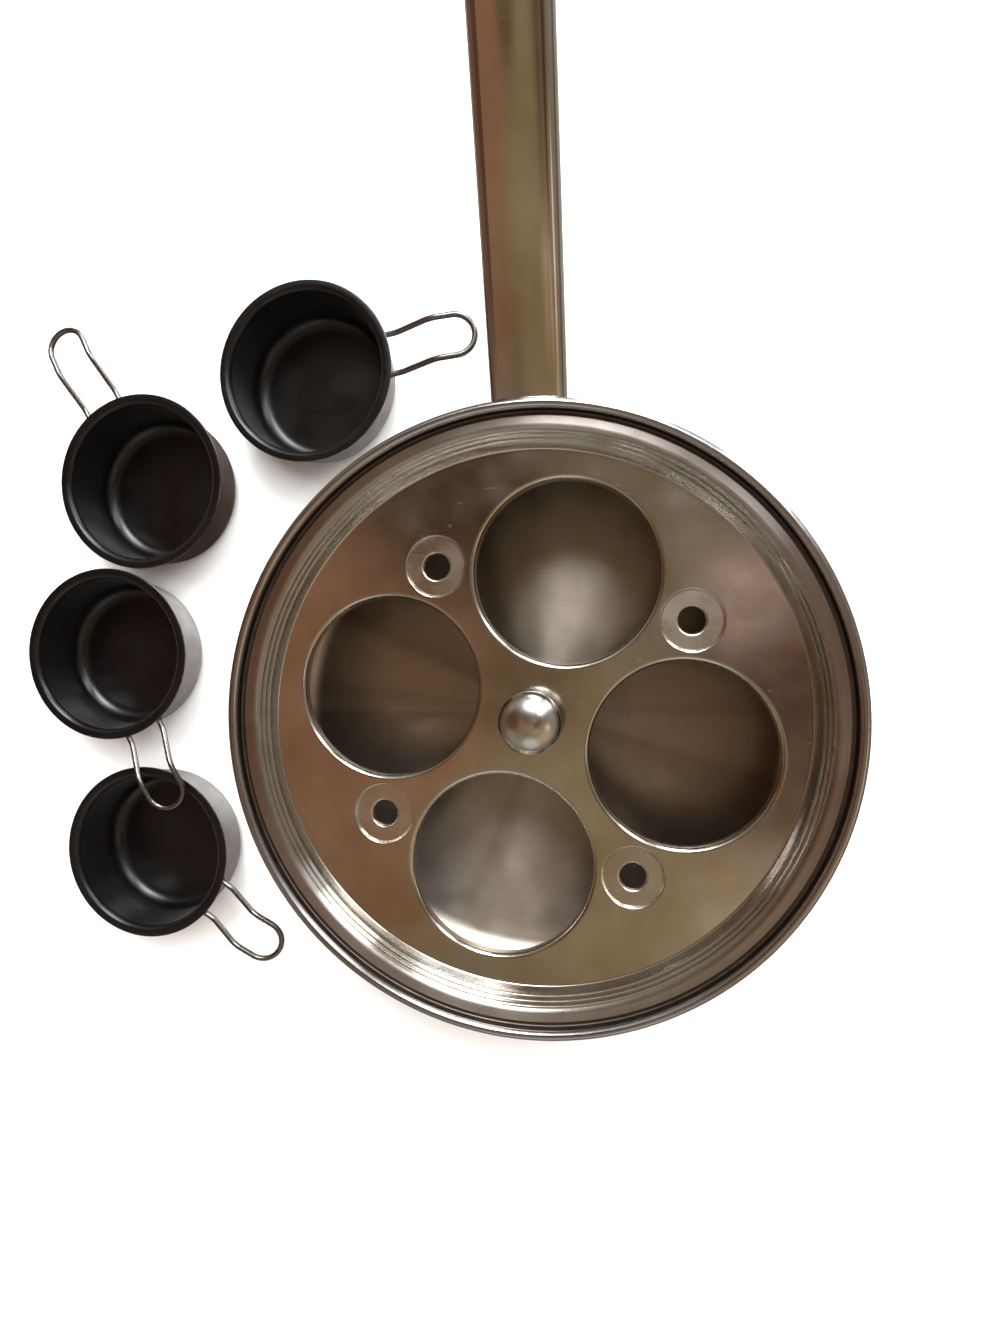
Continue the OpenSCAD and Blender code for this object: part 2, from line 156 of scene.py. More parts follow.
def edge_round(line: Sequence[Vector], thickness: float) -> list[Vector]:
    """Half circle over the sheet's edge at the end of its middle line, from left to right.

    Args:
        line: middle line that ends at the edge.
        thickness: sheet thickness.

    Returns:
        Points between the two sides, ends left out.
    """
    along = (line[-1] - line[-2]).normalized()
    left = Vector((-along.y, along.x))
    half = thickness / 2
    tip = line[-1]
    return [
        tip + left * (half * math.cos(a)) + along * (half * math.sin(a))
        for a in (math.radians(d) for d in range(22, 180, 22))
    ]


def sheet_outline(line: Sequence[Vector], thickness: float) -> list[Vector]:
    """Outline of a sheet's section, open at the axis or closed round both edges.

    Args:
        line: middle line of the sheet.
        thickness: sheet thickness.

    Returns:
        Points of the outline; the first is repeated at the end when the outline is closed.
    """
    left = offset_line(line, thickness / 2)
    right = offset_line(line, -thickness / 2)
    outline = left + edge_round(line, thickness) + right[::-1]
    if line[0].x > 1e-6:
        outline += edge_round(line[::-1], thickness)
        outline.append(outline[0].copy())
    else:
        outline[0].x = outline[-1].x = 0.0
    return outline


# ---------------------------------------------------------------- modelling moves


def clear_selection() -> None:
    """Leave edit mode and deselect every object."""
    if bpy.context.object and bpy.context.object.mode != "OBJECT":
        bpy.ops.object.mode_set(mode="OBJECT")
    bpy.ops.object.select_all(action="DESELECT")


def take(*objects: bpy.types.Object) -> None:
    """Select these objects only, the first one active.

    Args:
        objects: what to select.
    """
    clear_selection()
    for obj in objects:
        obj.select_set(True)
    bpy.context.view_layer.objects.active = objects[0]


def edit_all(obj: bpy.types.Object, mode: str = "VERT") -> None:
    """Open an object in edit mode with everything selected.

    Args:
        obj: the object.
        mode: VERT, EDGE or FACE.
    """
    take(obj)
    bpy.ops.object.mode_set(mode="EDIT")
    bpy.ops.mesh.select_mode(type=mode)
    bpy.ops.mesh.select_all(action="SELECT")


def close_edit(turn_out: bool = True) -> None:
    """Merge doubles, turn the faces outwards and leave edit mode.

    Args:
        turn_out: recalculate the normals of all faces.
    """
    bpy.ops.mesh.select_all(action="SELECT")
    bpy.ops.mesh.remove_doubles(threshold=MERGE)
    if turn_out:
        bpy.ops.mesh.normals_make_consistent(inside=False)
    bpy.ops.object.mode_set(mode="OBJECT")


def pick(obj: bpy.types.Object, mode: str, test: Callable[[Vector, Vector], bool]) -> None:
    """Select edges or faces by place, in edit mode.

    Args:
        obj: the object that is open in edit mode.
        mode: EDGE or FACE.
        test: takes the element's centre in millimetres and its normal (an edge's direction).
    """
    bpy.ops.mesh.select_mode(type=mode)
    bpy.ops.mesh.select_all(action="DESELECT")
    bpy.ops.object.mode_set(mode="OBJECT")
    mesh = obj.data
    if mode == "EDGE":
        ends = [(mesh.vertices[e.vertices[0]].co, mesh.vertices[e.vertices[1]].co) for e in mesh.edges]
        elements = [(e, (a + b) / 2 / MM, (b - a).normalized()) for e, (a, b) in zip(mesh.edges, ends)]
    else:
        elements = [(f, f.center / MM, f.normal) for f in mesh.polygons]
    for element, centre, normal in elements:
        element.select = test(centre, normal)
    bpy.ops.object.mode_set(mode="EDIT")


def trace(name: str, points: Sequence[Vector]) -> bpy.types.Object:
    """Draw a line of edges by extruding one vertex from point to point.

    Args:
        name: name of the new object.
        points: 3D points in millimetres.

    Returns:
        The new object, still open in edit mode.
    """
    clear_selection()
    bpy.ops.mesh.primitive_circle_add(vertices=3, radius=MM)
    obj = bpy.context.object
    obj.name = obj.data.name = name
    bpy.ops.object.mode_set(mode="EDIT")
    bpy.ops.mesh.select_mode(type="VERT")
    bpy.ops.mesh.select_all(action="SELECT")
    bpy.ops.mesh.merge(type="CENTER")
    bpy.ops.transform.translate(value=points[0] * MM)
    for a, b in zip(points, points[1:]):
        bpy.ops.mesh.extrude_vertices_move(TRANSFORM_OT_translate={"value": (b - a) * MM})
    return obj


def lathe(
    name: str, outline: Sequence[Vector], steps: int, centre: Vector = Vector((0, 0))
) -> bpy.types.Object:
    """Spin an outline about a vertical axis.

    Args:
        name: name of the new object.
        outline: points as (radius, height) in millimetres.
        steps: flats round the full turn.
        centre: the axis's place, in millimetres.

    Returns:
        The new object.
    """
    obj = trace(name, [Vector((centre.x + p.x, centre.y, p.y)) for p in outline])
    bpy.ops.mesh.select_all(action="SELECT")
    bpy.ops.mesh.spin(
        steps=steps, angle=FULL_TURN, center=(centre.x * MM, centre.y * MM, 0), axis=(0, 0, 1)
    )
    close_edit()
    return obj


def tube(name: str, points: Sequence[Vector], radius: float) -> bpy.types.Object:
    """A round wire along a line, with flat ends.

    Args:
        name: name of the new object.
        points: 3D points of its middle line, in millimetres.
        radius: radius of the wire, in millimetres.

    Returns:
        The new object.
    """
    obj = trace(name, points)
    bpy.ops.object.mode_set(mode="OBJECT")
    bpy.ops.object.convert(target="CURVE")
    obj = bpy.context.object
    obj.data.bevel_depth = radius * MM
    obj.data.bevel_resolution = 5
    obj.data.use_fill_caps = True
    bpy.ops.object.convert(target="MESH")
    obj = bpy.context.object
    obj.name = obj.data.name = name
    edit_all(obj)
    close_edit()
    return obj


def apply_modifier(obj: bpy.types.Object, kind: str, **settings: object) -> None:
    """Add a modifier and apply it.

    Args:
        obj: the object to change.
        kind: modifier type, such as "SOLIDIFY".
        settings: the modifier's own settings.
    """
    take(obj)
    modifier = obj.modifiers.new(kind.lower(), kind)
    for key, value in settings.items():
        setattr(modifier, key, value)
    bpy.ops.object.modifier_apply(modifier=modifier.name)


def copy_of(obj: bpy.types.Object, name: str) -> bpy.types.Object:
    """Copy an object, its mesh too.

    Args:
        obj: the object.
        name: name of the copy.

    Returns:
        The copy.
    """
    twin = obj.copy()
    twin.data = obj.data.copy()
    twin.name = twin.data.name = name
    bpy.context.scene.collection.objects.link(twin)
    return twin


def bake_place(obj: bpy.types.Object) -> None:
    """Move an object's place into its mesh, so that it sits at the origin, unturned and unscaled."""
    obj.data.transform(obj.matrix_basis)
    obj.matrix_basis = Matrix.Identity(4)


def join(objects: Sequence[bpy.types.Object]) -> bpy.types.Object:
    """Join objects into the first one.

    Args:
        objects: what to join.

    Returns:
        The joined object.
    """
    take(*objects)
    bpy.ops.object.join()
    return bpy.context.object


def soften(obj: bpy.types.Object, degrees: float = 32) -> None:
    """Shade smooth, but keep edges sharper than the angle."""
    take(obj)
    bpy.ops.object.shade_smooth_by_angle(angle=math.radians(degrees))


# ---------------------------------------------------------------- finishes


def linear(code: str) -> tuple[float, float, float, float]:
    """Turn an sRGB hex colour such as "#8a8580" into linear red, green, blue and alpha."""
    parts = [int(code[i : i + 2], 16) / 255 for i in (1, 3, 5)]
    return (*(c / 12.92 if c <= 0.04045 else ((c + 0.055) / 1.055) ** 2.4 for c in parts), 1.0)


def add(
    tree: bpy.types.NodeTree, kind: str, inputs: dict | None = None, **settings: object
) -> bpy.types.Node:
    """Add one shader node with its settings, values and links.

    Args:
        tree: the node tree.
        kind: node type without its "ShaderNode" prefix.
        inputs: values, or output sockets to link from, by input name or number.
        settings: attributes of the node.

    Returns:
        The new node.
    """
    node = tree.nodes.new("ShaderNode" + kind)
    for key, value in settings.items():
        setattr(node, key, value)
    for key, value in (inputs or {}).items():
        if isinstance(value, bpy.types.NodeSocket):
            tree.links.new(value, node.inputs[key])
        else:
            node.inputs[key].default_value = value
    return node


def new_material(name: str) -> tuple[bpy.types.Material, bpy.types.NodeTree]:
    """Make an empty material with nodes.

    Args:
        name: what it is and how its surface was made.

    Returns:
        The material and its node tree.
    """
    material = bpy.data.materials.new(name)
    material.use_nodes = True
    material.node_tree.nodes.clear()
    return material, material.node_tree


class Scratches(Enum):
    """How worn a polished surface is: how much of it the fine scratches cover."""

    FEW = 0.78
    SOME = 0.745
    MANY = 0.69


def scratch_mask(
    tree: bpy.types.NodeTree, place: bpy.types.NodeSocket, worn: Scratches
) -> bpy.types.NodeSocket:
    """Mask of fine straight scratches in three directions.

    Args:
        tree: the node tree.
        place: position in metres.
        worn: how many scratches.

    Returns:
        A socket that is 1 in a scratch and 0 outside.
    """
    total = None
    # Scratches are about 14 mm long and 0.3 mm wide, drawn wide enough to show in the render
    for turn in (0.35, 1.5, 2.6):
        turned = add(tree, "Mapping", {"Vector": place, "Rotation": (0, 0, turn), "Scale": (70, 2600, 70)})
        noise = add(tree, "TexNoise", {"Vector": turned.outputs[0], "Scale": 1.0, "Detail": 1.0}).outputs[0]
        line = add(tree, "MapRange", {"Value": noise, "From Min": worn.value, "From Max": worn.value + 0.06})
        if total is None:
            total = line.outputs[0]
        else:
            total = add(tree, "Math", {0: total, 1: line.outputs[0]}, operation="MAXIMUM").outputs[0]
    return total


@dataclass(frozen=True)
class PolishedSteel:
    """18/10 stainless sheet, buffed to a mirror, then used and washed for years."""

    name: str
    tint: str = "#c6c2bb"
    stain: str = "#b3a897"
    roughness: float = 0.13
    worn: Scratches = Scratches.SOME
    ripple: float = 0.25
    scuff: float = 0.08

    def make(self) -> bpy.types.Material:
        """Build the material.

        Returns:
            The material: mirror steel with heat stain, scratches, water marks and soft ripples.
        """
        material, tree = new_material(self.name)
        place = add(tree, "TexCoord").outputs["Object"]
        # Heat and washing stain in clouds about 40 mm across
        cloud = add(tree, "TexNoise", {"Vector": place, "Scale": 25.0, "Detail": 3.0, "Roughness": 0.55})
        ramp = add(tree, "MapRange", {"Value": cloud.outputs[0], "From Min": 0.42, "From Max": 0.68})
        stain = {0: ramp.outputs[0], 6: linear(self.tint), 7: linear(self.stain)}
        colour = add(tree, "Mix", stain, data_type="RGBA").outputs[2]
        scratches = scratch_mask(tree, place, self.worn)
        # Dried water marks: specks 1 to 2 mm across, few and uneven
        specks = add(tree, "TexVoronoi", {"Vector": place, "Scale": 170.0, "Randomness": 1.0})
        speck = add(tree, "MapRange", {
            "Value": specks.outputs["Distance"], "From Min": 0.16, "From Max": 0.08,
        })
        sparse = add(tree, "TexNoise", {"Vector": place, "Scale": 60.0, "Detail": 1.0})
        gate = add(tree, "MapRange", {"Value": sparse.outputs[0], "From Min": 0.60, "From Max": 0.66})
        marks = add(tree, "Math", {0: speck.outputs[0], 1: gate.outputs[0]}, operation="MULTIPLY")
        wear = add(tree, "Math", {0: scratches, 1: marks.outputs[0]}, operation="MAXIMUM")
        # Buffing haze makes the gloss uneven over 15 mm
        haze = add(tree, "TexNoise", {"Vector": place, "Scale": 70.0, "Detail": 4.0, "Roughness": 0.6})
        base = add(tree, "MapRange", {
            "Value": haze.outputs[0], "From Min": 0.3, "From Max": 0.75,
            "To Min": self.roughness * 0.8, "To Max": self.roughness * 1.5,
        })
        rough = add(
            tree, "Math", {0: wear.outputs[0], 1: self.scuff, 2: base.outputs[0]}, operation="MULTIPLY_ADD"
        )
        # The press leaves the sheet slightly uneven, which bends reflections over 25 mm
        wave = add(tree, "TexNoise", {"Vector": place, "Scale": 38.0, "Detail": 1.0})
        soft = add(tree, "Bump", {"Height": wave.outputs[0], "Strength": self.ripple, "Distance": 0.0006})
        nick = {
            "Height": wear.outputs[0], "Strength": self.scuff, "Distance": 0.00003, "Normal": soft.outputs[0],
        }
        shader = add(tree, "BsdfPrincipled", {
            "Base Color": colour, "Metallic": 1.0, "Roughness": rough.outputs[0],
            "Normal": add(tree, "Bump", nick, invert=True).outputs[0],
        })
        add(tree, "OutputMaterial", {"Surface": shader.outputs[0]})
        return material


@dataclass(frozen=True)
class TurnedSteel:
    """Stainless sheet finished on a spindle, so that fine grooves run round its centre, under wedges of
    painted light and shade.
    """

    name: str
    # The first colour shows in the painted highlights, the second is the painted shade between them
    tint: str = "#aea499"
    painted_shade_tint: str = "#978d80"
    roughness: float = 0.34
    stretch: float = 0.8
    # Directions in degrees of extra painted highlight wedges; by default one lies along the first axis
    painted_highlight_fans: tuple[float, ...] = (0.0,)

    def make(self) -> bpy.types.Material:
        """Build the material.

        Returns:
            The material: soft painted highlights and shade in wedges from the centre, crossed by fine round
                grooves.
        """
        material, tree = new_material(self.name)
        place = add(tree, "TexCoord").outputs["Object"]
        flat = add(tree, "VectorMath", {0: place, 1: (1, 1, 0)}, operation="MULTIPLY")
        radius = add(tree, "VectorMath", {0: flat.outputs[0]}, operation="LENGTH").outputs["Value"]
        axes = add(tree, "SeparateXYZ", {0: flat.outputs[0]})
        turn = add(tree, "Math", {0: axes.outputs[1], 1: axes.outputs[0]}, operation="ARCTAN2")
        # Painted highlights and painted shade in lighter and darker wedges round the centre, standing in for
        # the light that the round grain draws out
        fan = add(
            tree, "TexNoise", {"W": turn.outputs[0], "Scale": 2.1, "Detail": 1.0}, noise_dimensions="1D"
        )
        share = add(tree, "MapRange", {"Value": fan.outputs[0], "From Min": 0.3, "From Max": 0.7}).outputs[0]
        # A painted highlight wedge at each listed direction, full within 2 degrees of it and gone at 12
        dim, full = math.cos(math.radians(12)), math.cos(math.radians(2))
        for degrees in self.painted_highlight_fans:
            off = add(tree, "Math", {0: turn.outputs[0], 1: math.radians(degrees)}, operation="SUBTRACT")
            near = add(tree, "Math", {0: off.outputs[0]}, operation="COSINE")
            edge = {"Value": near.outputs[0], "From Min": dim, "From Max": full}
            light = add(tree, "MapRange", edge, interpolation_type="SMOOTHSTEP")
            share = add(tree, "Math", {0: share, 1: light.outputs[0]}, operation="MAXIMUM").outputs[0]
        # Grooves are drawn 0.6 mm apart, coarser than the real 0.1 mm, so that they show
        groove = add(tree, "TexNoise", {"W": radius, "Scale": 1700.0, "Detail": 2.0}, noise_dimensions="1D")
        patch = add(tree, "TexNoise", {"Vector": place, "Scale": 90.0, "Detail": 3.0})
        line = add(tree, "Math", {0: groove.outputs[0], 1: patch.outputs[0]}, operation="MULTIPLY")
        fleck = add(tree, "MapRange", {
            "Value": line.outputs[0], "From Min": 0.14, "From Max": 0.4, "To Min": 0.9, "To Max": 1.06,
        })
        # Mix painted shade into painted highlight by the share
        shade = add(tree, "Mix", {0: share, 6: linear(self.painted_shade_tint), 7: linear(self.tint)}, data_type="RGBA")
        colour = add(tree, "VectorMath", {0: shade.outputs[2], 1: fleck.outputs[0]}, operation="MULTIPLY")
        rough = add(tree, "MapRange", {
            "Value": patch.outputs[0], "From Min": 0.3, "From Max": 0.7,
            "To Min": self.roughness * 0.9, "To Max": self.roughness * 1.1,
        })
        round_way = add(tree, "Tangent", direction_type="RADIAL", axis="Z")
        shader = add(tree, "BsdfPrincipled", {
            "Base Color": colour.outputs[0], "Metallic": 1.0, "Roughness": rough.outputs[0],
            "Anisotropic": self.stretch, "Anisotropic Rotation": 0.25, "Tangent": round_way.outputs[0],
        })
        add(tree, "OutputMaterial", {"Surface": shader.outputs[0]})
        return material


@dataclass(frozen=True)
class SprayedCoating:
    """Dark PTFE coating, sprayed on and baked: satin, with a very fine orange peel."""

    name: str
    tint: str = "#040303"
    grey: str = "#070606"
    roughness: float = 0.27

    def make(self) -> bpy.types.Material:
        """Build the material.

        Returns:
            The material: near black, with broad soft highlights and a slight lift at grazing angles.
        """
        material, tree = new_material(self.name)
        place = add(tree, "TexCoord").outputs["Object"]
        cloud = add(tree, "TexNoise", {"Vector": place, "Scale": 60.0, "Detail": 3.0})
        ramp = add(tree, "MapRange", {"Value": cloud.outputs[0], "From Min": 0.4, "From Max": 0.7})
        colour = add(
            tree, "Mix", {0: ramp.outputs[0], 6: linear(self.tint), 7: linear(self.grey)}, data_type="RGBA"
        )
        # Orange peel has cells about 0.6 mm across
        peel = add(tree, "TexNoise", {"Vector": place, "Scale": 1600.0, "Detail": 2.0})
        bump = add(tree, "Bump", {"Height": peel.outputs[0], "Strength": 0.3, "Distance": 0.00002})
        rough = add(tree, "MapRange", {
            "Value": cloud.outputs[0], "From Min": 0.3, "From Max": 0.7,
            "To Min": self.roughness - 0.04, "To Max": self.roughness + 0.06,
        })
        shader = add(tree, "BsdfPrincipled", {
            "Base Color": colour.outputs[2], "Metallic": 0.0, "Roughness": rough.outputs[0], "IOR": 1.6,
            "Specular IOR Level": 0.34, "Sheen Weight": 0.06, "Sheen Roughness": 0.4,
            "Normal": bump.outputs[0],
        })
        add(tree, "OutputMaterial", {"Surface": shader.outputs[0]})
        return material


@dataclass(frozen=True)
class DrawnMetal:
    """Bare sheet or wire from a die: grey and satin, with short fine lines, 0.3 mm apart on the cups."""

    name: str
    tint: str = "#8f8b86"
    roughness: float = 0.34
    metallic: float = 1.0
    scale: tuple[float, float, float] = (400.0, 400.0, 3000.0)

    def make(self) -> bpy.types.Material:
        """Build the material.

        Returns:
            The material: grey satin metal in slightly uneven shades.
        """
        material, tree = new_material(self.name)
        place = add(tree, "TexCoord").outputs["Object"]
        drawn = add(tree, "Mapping", {"Vector": place, "Scale": self.scale})
        lines = add(tree, "TexNoise", {"Vector": drawn.outputs[0], "Scale": 1.0, "Detail": 2.0})
        cloud = add(tree, "TexNoise", {"Vector": place, "Scale": 90.0, "Detail": 3.0})
        both = add(tree, "Math", {0: lines.outputs[0], 1: cloud.outputs[0]}, operation="MULTIPLY")
        rough = add(tree, "MapRange", {
            "Value": both.outputs[0], "From Min": 0.12, "From Max": 0.42,
            "To Min": self.roughness * 0.8, "To Max": self.roughness * 1.3,
        })
        shade = add(tree, "MapRange", {"Value": cloud.outputs[0], "From Min": 0.35, "From Max": 0.7})
        dull = tuple(0.72 * c for c in linear(self.tint)[:3]) + (1.0,)
        colour = add(tree, "Mix", {0: shade.outputs[0], 6: linear(self.tint), 7: dull}, data_type="RGBA")
        bump = add(tree, "Bump", {"Height": lines.outputs[0], "Strength": 0.12, "Distance": 0.00003})
        shader = add(tree, "BsdfPrincipled", {
            "Base Color": colour.outputs[2], "Metallic": self.metallic, "Roughness": rough.outputs[0],
            "Normal": bump.outputs[0],
        })
        add(tree, "OutputMaterial", {"Surface": shader.outputs[0]})
        return material


def dress(obj: bpy.types.Object, *materials: bpy.types.Material) -> None:
    """Give a piece its materials.

    Args:
        obj: the piece.
        materials: one for each of its slots.
    """
    obj.data.materials.clear()
    for material in materials:
        obj.data.materials.append(material)


def paint(obj: bpy.types.Object, slot: int, test: Callable[[Vector, Vector], bool]) -> None:
    """Give some faces of a dressed piece another of its materials.

    Args:
        obj: the piece.
        slot: number of the material's slot.
        test: takes a face's centre in millimetres and its normal.
    """
    edit_all(obj, "FACE")
    pick(obj, "FACE", test)
    obj.active_material_index = slot
    bpy.ops.object.material_slot_assign()
    bpy.ops.object.mode_set(mode="OBJECT")


def put_in_place(obj: bpy.types.Object, body: str, slot: str, *nodes: str) -> None:
    """Hand a finished piece to the frame.

    Args:
        obj: the piece.
        body: the CAD body that it rides on.
        slot: name of its material slot; not used.
        nodes: the CAD nodes that it replaces.
    """
    soften(obj)
    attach(obj, body)
    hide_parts(*nodes)
    LOG.info(
        "%s: %d faces, rides on %s, stands for %s", obj.name, len(obj.data.polygons), body, ", ".join(nodes)
    )


# ---------------------------------------------------------------- sub-assemblies


@dataclass
class Pan:
    """The drawn pan with its heat-spreading base."""

    rim_d: float = 213.0
    height: float = 52.0
    sheet: float = 0.9
    corner: float = 9.0
    draft: float = 1.2
    seat_depth: float = 4.2
    seat_w: float = 4.5
    roll_w: float = 3.4
    seat_bend: float = 1.2
    base_d: float = 168.0
    base_h: float = 4.2
    cap_sheet: float = 0.6

    @property
    def roll_r(self) -> float:
        """Radius of the rolled rim on the middle of its sheet."""
        return (self.roll_w - self.sheet) / 2

    @property
    def rim_wall_r(self) -> float:
        """Radius of the wall above the seat, on the middle of its sheet."""
        return self.rim_d / 2 - self.roll_w / 2 - self.roll_r

    @property
    def seat_top(self) -> float:
        """Height of the seat that carries the tray."""
        return self.height - self.seat_depth

    @property
    def wall_r(self) -> float:
        """Radius of the pan's wall at its top, on the middle of its sheet."""
        return self.rim_wall_r - self.seat_w

    def shell(self) -> bpy.types.Object:
        """Spin the drawn shell with its stepped seat and rolled rim.

        Returns:
            The pan's shell.
        """
        seat_z = self.seat_top - self.sheet / 2
        floor_z = self.base_h + self.sheet / 2
        roll_z = self.height - self.sheet / 2 - self.roll_r
        line = sheet_line([
            Corner(0, floor_z),
            Corner(self.wall_r - self.draft, floor_z, self.corner),
            Corner(self.wall_r, seat_z, self.seat_bend),
            Corner(self.rim_wall_r, seat_z, self.seat_bend),
            Corner(self.rim_wall_r, roll_z),
        ], guard=0.5)
        centre = Vector((self.rim_wall_r + self.roll_r, roll_z))
        line += [centre + polar(self.roll_r, a) for a in range(168, -61, -12)]
        return lathe("pan_shell", sheet_outline(line, self.sheet), 288)

    def cap(self) -> bpy.types.Object:
        """Spin the cap that encloses the heat-spreading disc.

        Returns:
            The base's cap.
        """
        wall = self.base_d / 2 - self.cap_sheet / 2
        line = sheet_line([
            Corner(0, self.cap_sheet / 2),
            Corner(wall, self.cap_sheet / 2, 0.9),
            Corner(wall, self.base_h - self.cap_sheet / 2),
        ])
        return lathe("base_cap_dish", sheet_outline(line, self.cap_sheet), 240)

    def build(self, nodes: dict[str, bpy.types.Object]) -> None:
        """Make and dress the pan and its base.

        Args:
            nodes: the CAD nodes by name.
        """
        # Bright grey mirror, blurred a little by years of washing
        outside = PolishedSteel(
            "stainless_steel_buffed_outside", tint="#b4b3b4", stain="#a09b98", roughness=0.16,
            worn=Scratches.FEW,
        )
        # Painted highlights and shade in wedges from the centre, over a fine round grain, with four brighter
        # painted highlight wedges
        inside = TurnedSteel("stainless_steel_turned_inside", painted_highlight_fans=(165.0, 240.0, 262.0, 352.0))
        # A dull brown ring under the tray's edge: painted shade on the seat
        dull = DrawnMetal(
            "stainless_steel_seat_painted_shade", tint="#60564e", roughness=0.38, scale=(300.0, 300.0, 300.0)
        )
        shell = self.shell()
        dress(shell, outside.make(), inside.make(), dull.make())
        # Slot 1 is the inside finish, slot 2 the painted shade on the seat
        for slot, near, far, low, high in (
            (1, -1.0, self.wall_r - 0.1, self.base_h + 0.5, self.height),
            (2, self.wall_r + 0.4, self.rim_wall_r + 0.1, self.base_h, self.height - 1.3),
        ):
            paint(shell, slot, lambda c, n: (
                near < c.xy.length < far and low < c.z < high and (n.z > 0.3 or c.xy.dot(n.xy) < 0)
            ))
        put_in_place(shell, "pan", "pan_steel", "pan_body")
        cap = self.cap()
        # Lighter and softer than the inside, scuffed all over by the stove
        dress(cap, TurnedSteel(
            "stainless_steel_turned_base", tint="#d3c9be", painted_shade_tint="#a9a094", roughness=0.33, stretch=0.5
        ).make())
        put_in_place(cap, "pan", "cap_steel", "base_cap")
        core = nodes["base_core"]
        # Pale matt grey, as it leaves the press
        core.material_slots[0].material = DrawnMetal(
            "aluminium_pressed", tint="#c9c9c8", roughness=0.45
        ).make()


@dataclass
class Handle:
    """The hollow pressed handle: an upper and a lower shell over a welded tongue."""

    pan_wall_r: float = 99.5
    root_z: float = 44.6
    length: float = 165.0
    width: float = 25.5
    depth: float = 12.0
    slope: float = 22.0
    sheet: float = 1.0
    edge: float = 4.2
    seam: float = 5.04
    hang_d: float = 9.0
    hang_inset: float = 13.0
    saddle_sheet: float = 1.54
    crown: float = 0.5
    hang_round: float = 0.7
    wall_top: float = 47.35
    wall_drop: float = 42.7
    wall_draft: float = 1.2
    seam_gap: float = 0.12

    @property
    def place(self) -> Matrix:
        """The turn and shift from the handle's own frame to the pan's wall."""
        turn = Matrix.Rotation(math.radians(self.slope), 4, "X")
        return Matrix.Translation((0, self.pan_wall_r * MM, self.root_z * MM)) @ turn

    def section(self) -> list[Vector]:
        """Half of the handle's section from the top middle to the bottom middle.

        Returns:
            Points as (sideways, height), the top at height 0.
        """
        half, flat, low = self.width / 2, self.width / 2 - self.edge, -self.depth
        top = [Vector((flat * k / 8, -self.crown * (k / 8) ** 2)) for k in range(8)]
        quarter = [math.radians(d) for d in range(0, 91, 9)]
        edge, drop = self.edge, self.edge - self.crown
        top_edge = [Vector((flat + edge * math.sin(a), -edge + drop * math.cos(a))) for a in quarter]
        low_edge = [Vector((flat + edge * math.cos(a), low + edge - edge * math.sin(a))) for a in quarter]
        return top + top_edge + low_edge + [Vector((x, low)) for x in (6, 3, 0)]

    def bar(self) -> bpy.types.Object:
        """Model the full bar along +Y: its round end is spun and its section is pulled to the root.

        Returns:
            The solid bar in its own frame, the pan's wall at y = 0.
        """
        end = self.length - self.width / 2
        obj = trace("handle_bar", [Vector((p.x, end, p.y)) for p in self.section()])
        bpy.ops.mesh.select_all(action="SELECT")
        bpy.ops.mesh.spin(steps=64, angle=-math.pi, center=(0, end * MM, 0), axis=(0, 0, 1))
        bpy.ops.mesh.select_all(action="SELECT")
        bpy.ops.mesh.remove_doubles(threshold=MERGE)
        pick(obj, "EDGE", lambda c, d: abs(c.y - end) < 0.01)
        # Rows of long faces from the round end; the last one lies inside the pan's wall
        for to in (end - 0.5, 120.0, 80.0, 40.0, -12.0):
            bpy.ops.mesh.extrude_edges_move(TRANSFORM_OT_translate={"value": (0, (to - end) * MM, 0)})
            end = to
        bpy.ops.mesh.edge_face_add()
        close_edit()
        return obj

    def cut(self, bar: bpy.types.Object, cutter: bpy.types.Object) -> None:
        """Cut one solid away from the bar.

        Args:
            bar: the solid bar.
            cutter: what is cut away; it is used up.
        """
        apply_modifier(bar, "BOOLEAN", operation="DIFFERENCE", object=cutter, solver="MANIFOLD")
        bpy.data.objects.remove(cutter)

    def hang_drill(self) -> bpy.types.Object:
        """Spin the shape of the hanging hole, flared where it leaves the handle.

        Returns:
            A solid round the hole's axis.
        """
        r, lip, low = self.hang_d / 2, self.hang_round, -self.depth
        # How far the flare and the whole drill stand out of the handle
        proud, past = 0.03, 2.0
        quarter = [math.radians(d) for d in range(0, 91, 15)]
        over = [Vector((r + lip - lip * math.sin(a), proud - lip + lip * math.cos(a))) for a in quarter]
        under = [Vector((p.x, low - p.y)) for p in reversed(over)]
        above = [Vector((0, past)), Vector((r + lip, past))]
        below = [Vector((r + lip, low - past)), Vector((0, low - past))]
        return lathe(
            "hang_drill", above + over + under + below, 72, Vector((0, self.length - self.hang_inset))
        )

    def wall_at(self, z: float) -> float:
        """Radius of the saddle's outer side at a height."""
        return self.pan_wall_r + self.saddle_sheet - self.wall_draft * (self.wall_top - z) / self.wall_drop

    def root_cutter(self) -> bpy.types.Object:
        """A cone with the shape of the saddle's outer side, in the handle's own frame.

        Returns:
            The solid cone.
        """
        # Taller than the tilted handle's end
        tall = 150
        clear_selection()
        bpy.ops.mesh.primitive_cone_add(
            vertices=360,
            radius1=self.wall_at(0) * MM,
            radius2=self.wall_at(tall) * MM,
            depth=tall * MM,
            location=(0, 0, tall / 2 * MM),
        )
        cone = bpy.context.object
        cone.matrix_basis = self.place.inverted() @ cone.matrix_basis
        bake_place(cone)
        return cone

    def shells(self) -> tuple[bpy.types.Object, bpy.types.Object]:
        """Split the bar at its seam, hollow out both halves and tilt them to the pan.

        Returns:
            The upper and the lower shell.
        """
        bar = self.bar()
        self.cut(bar, self.hang_drill())
        self.cut(bar, self.root_cutter())
        edit_all(bar, "FACE")
        place = self.place

        def is_root(centre: Vector, normal: Vector) -> bool:
            """Whether a face lies against the saddle."""
            spot = place @ (centre * MM) / MM
            return normal.y < -0.5 and abs(spot.xy.length - self.wall_at(spot.z)) < 0.1

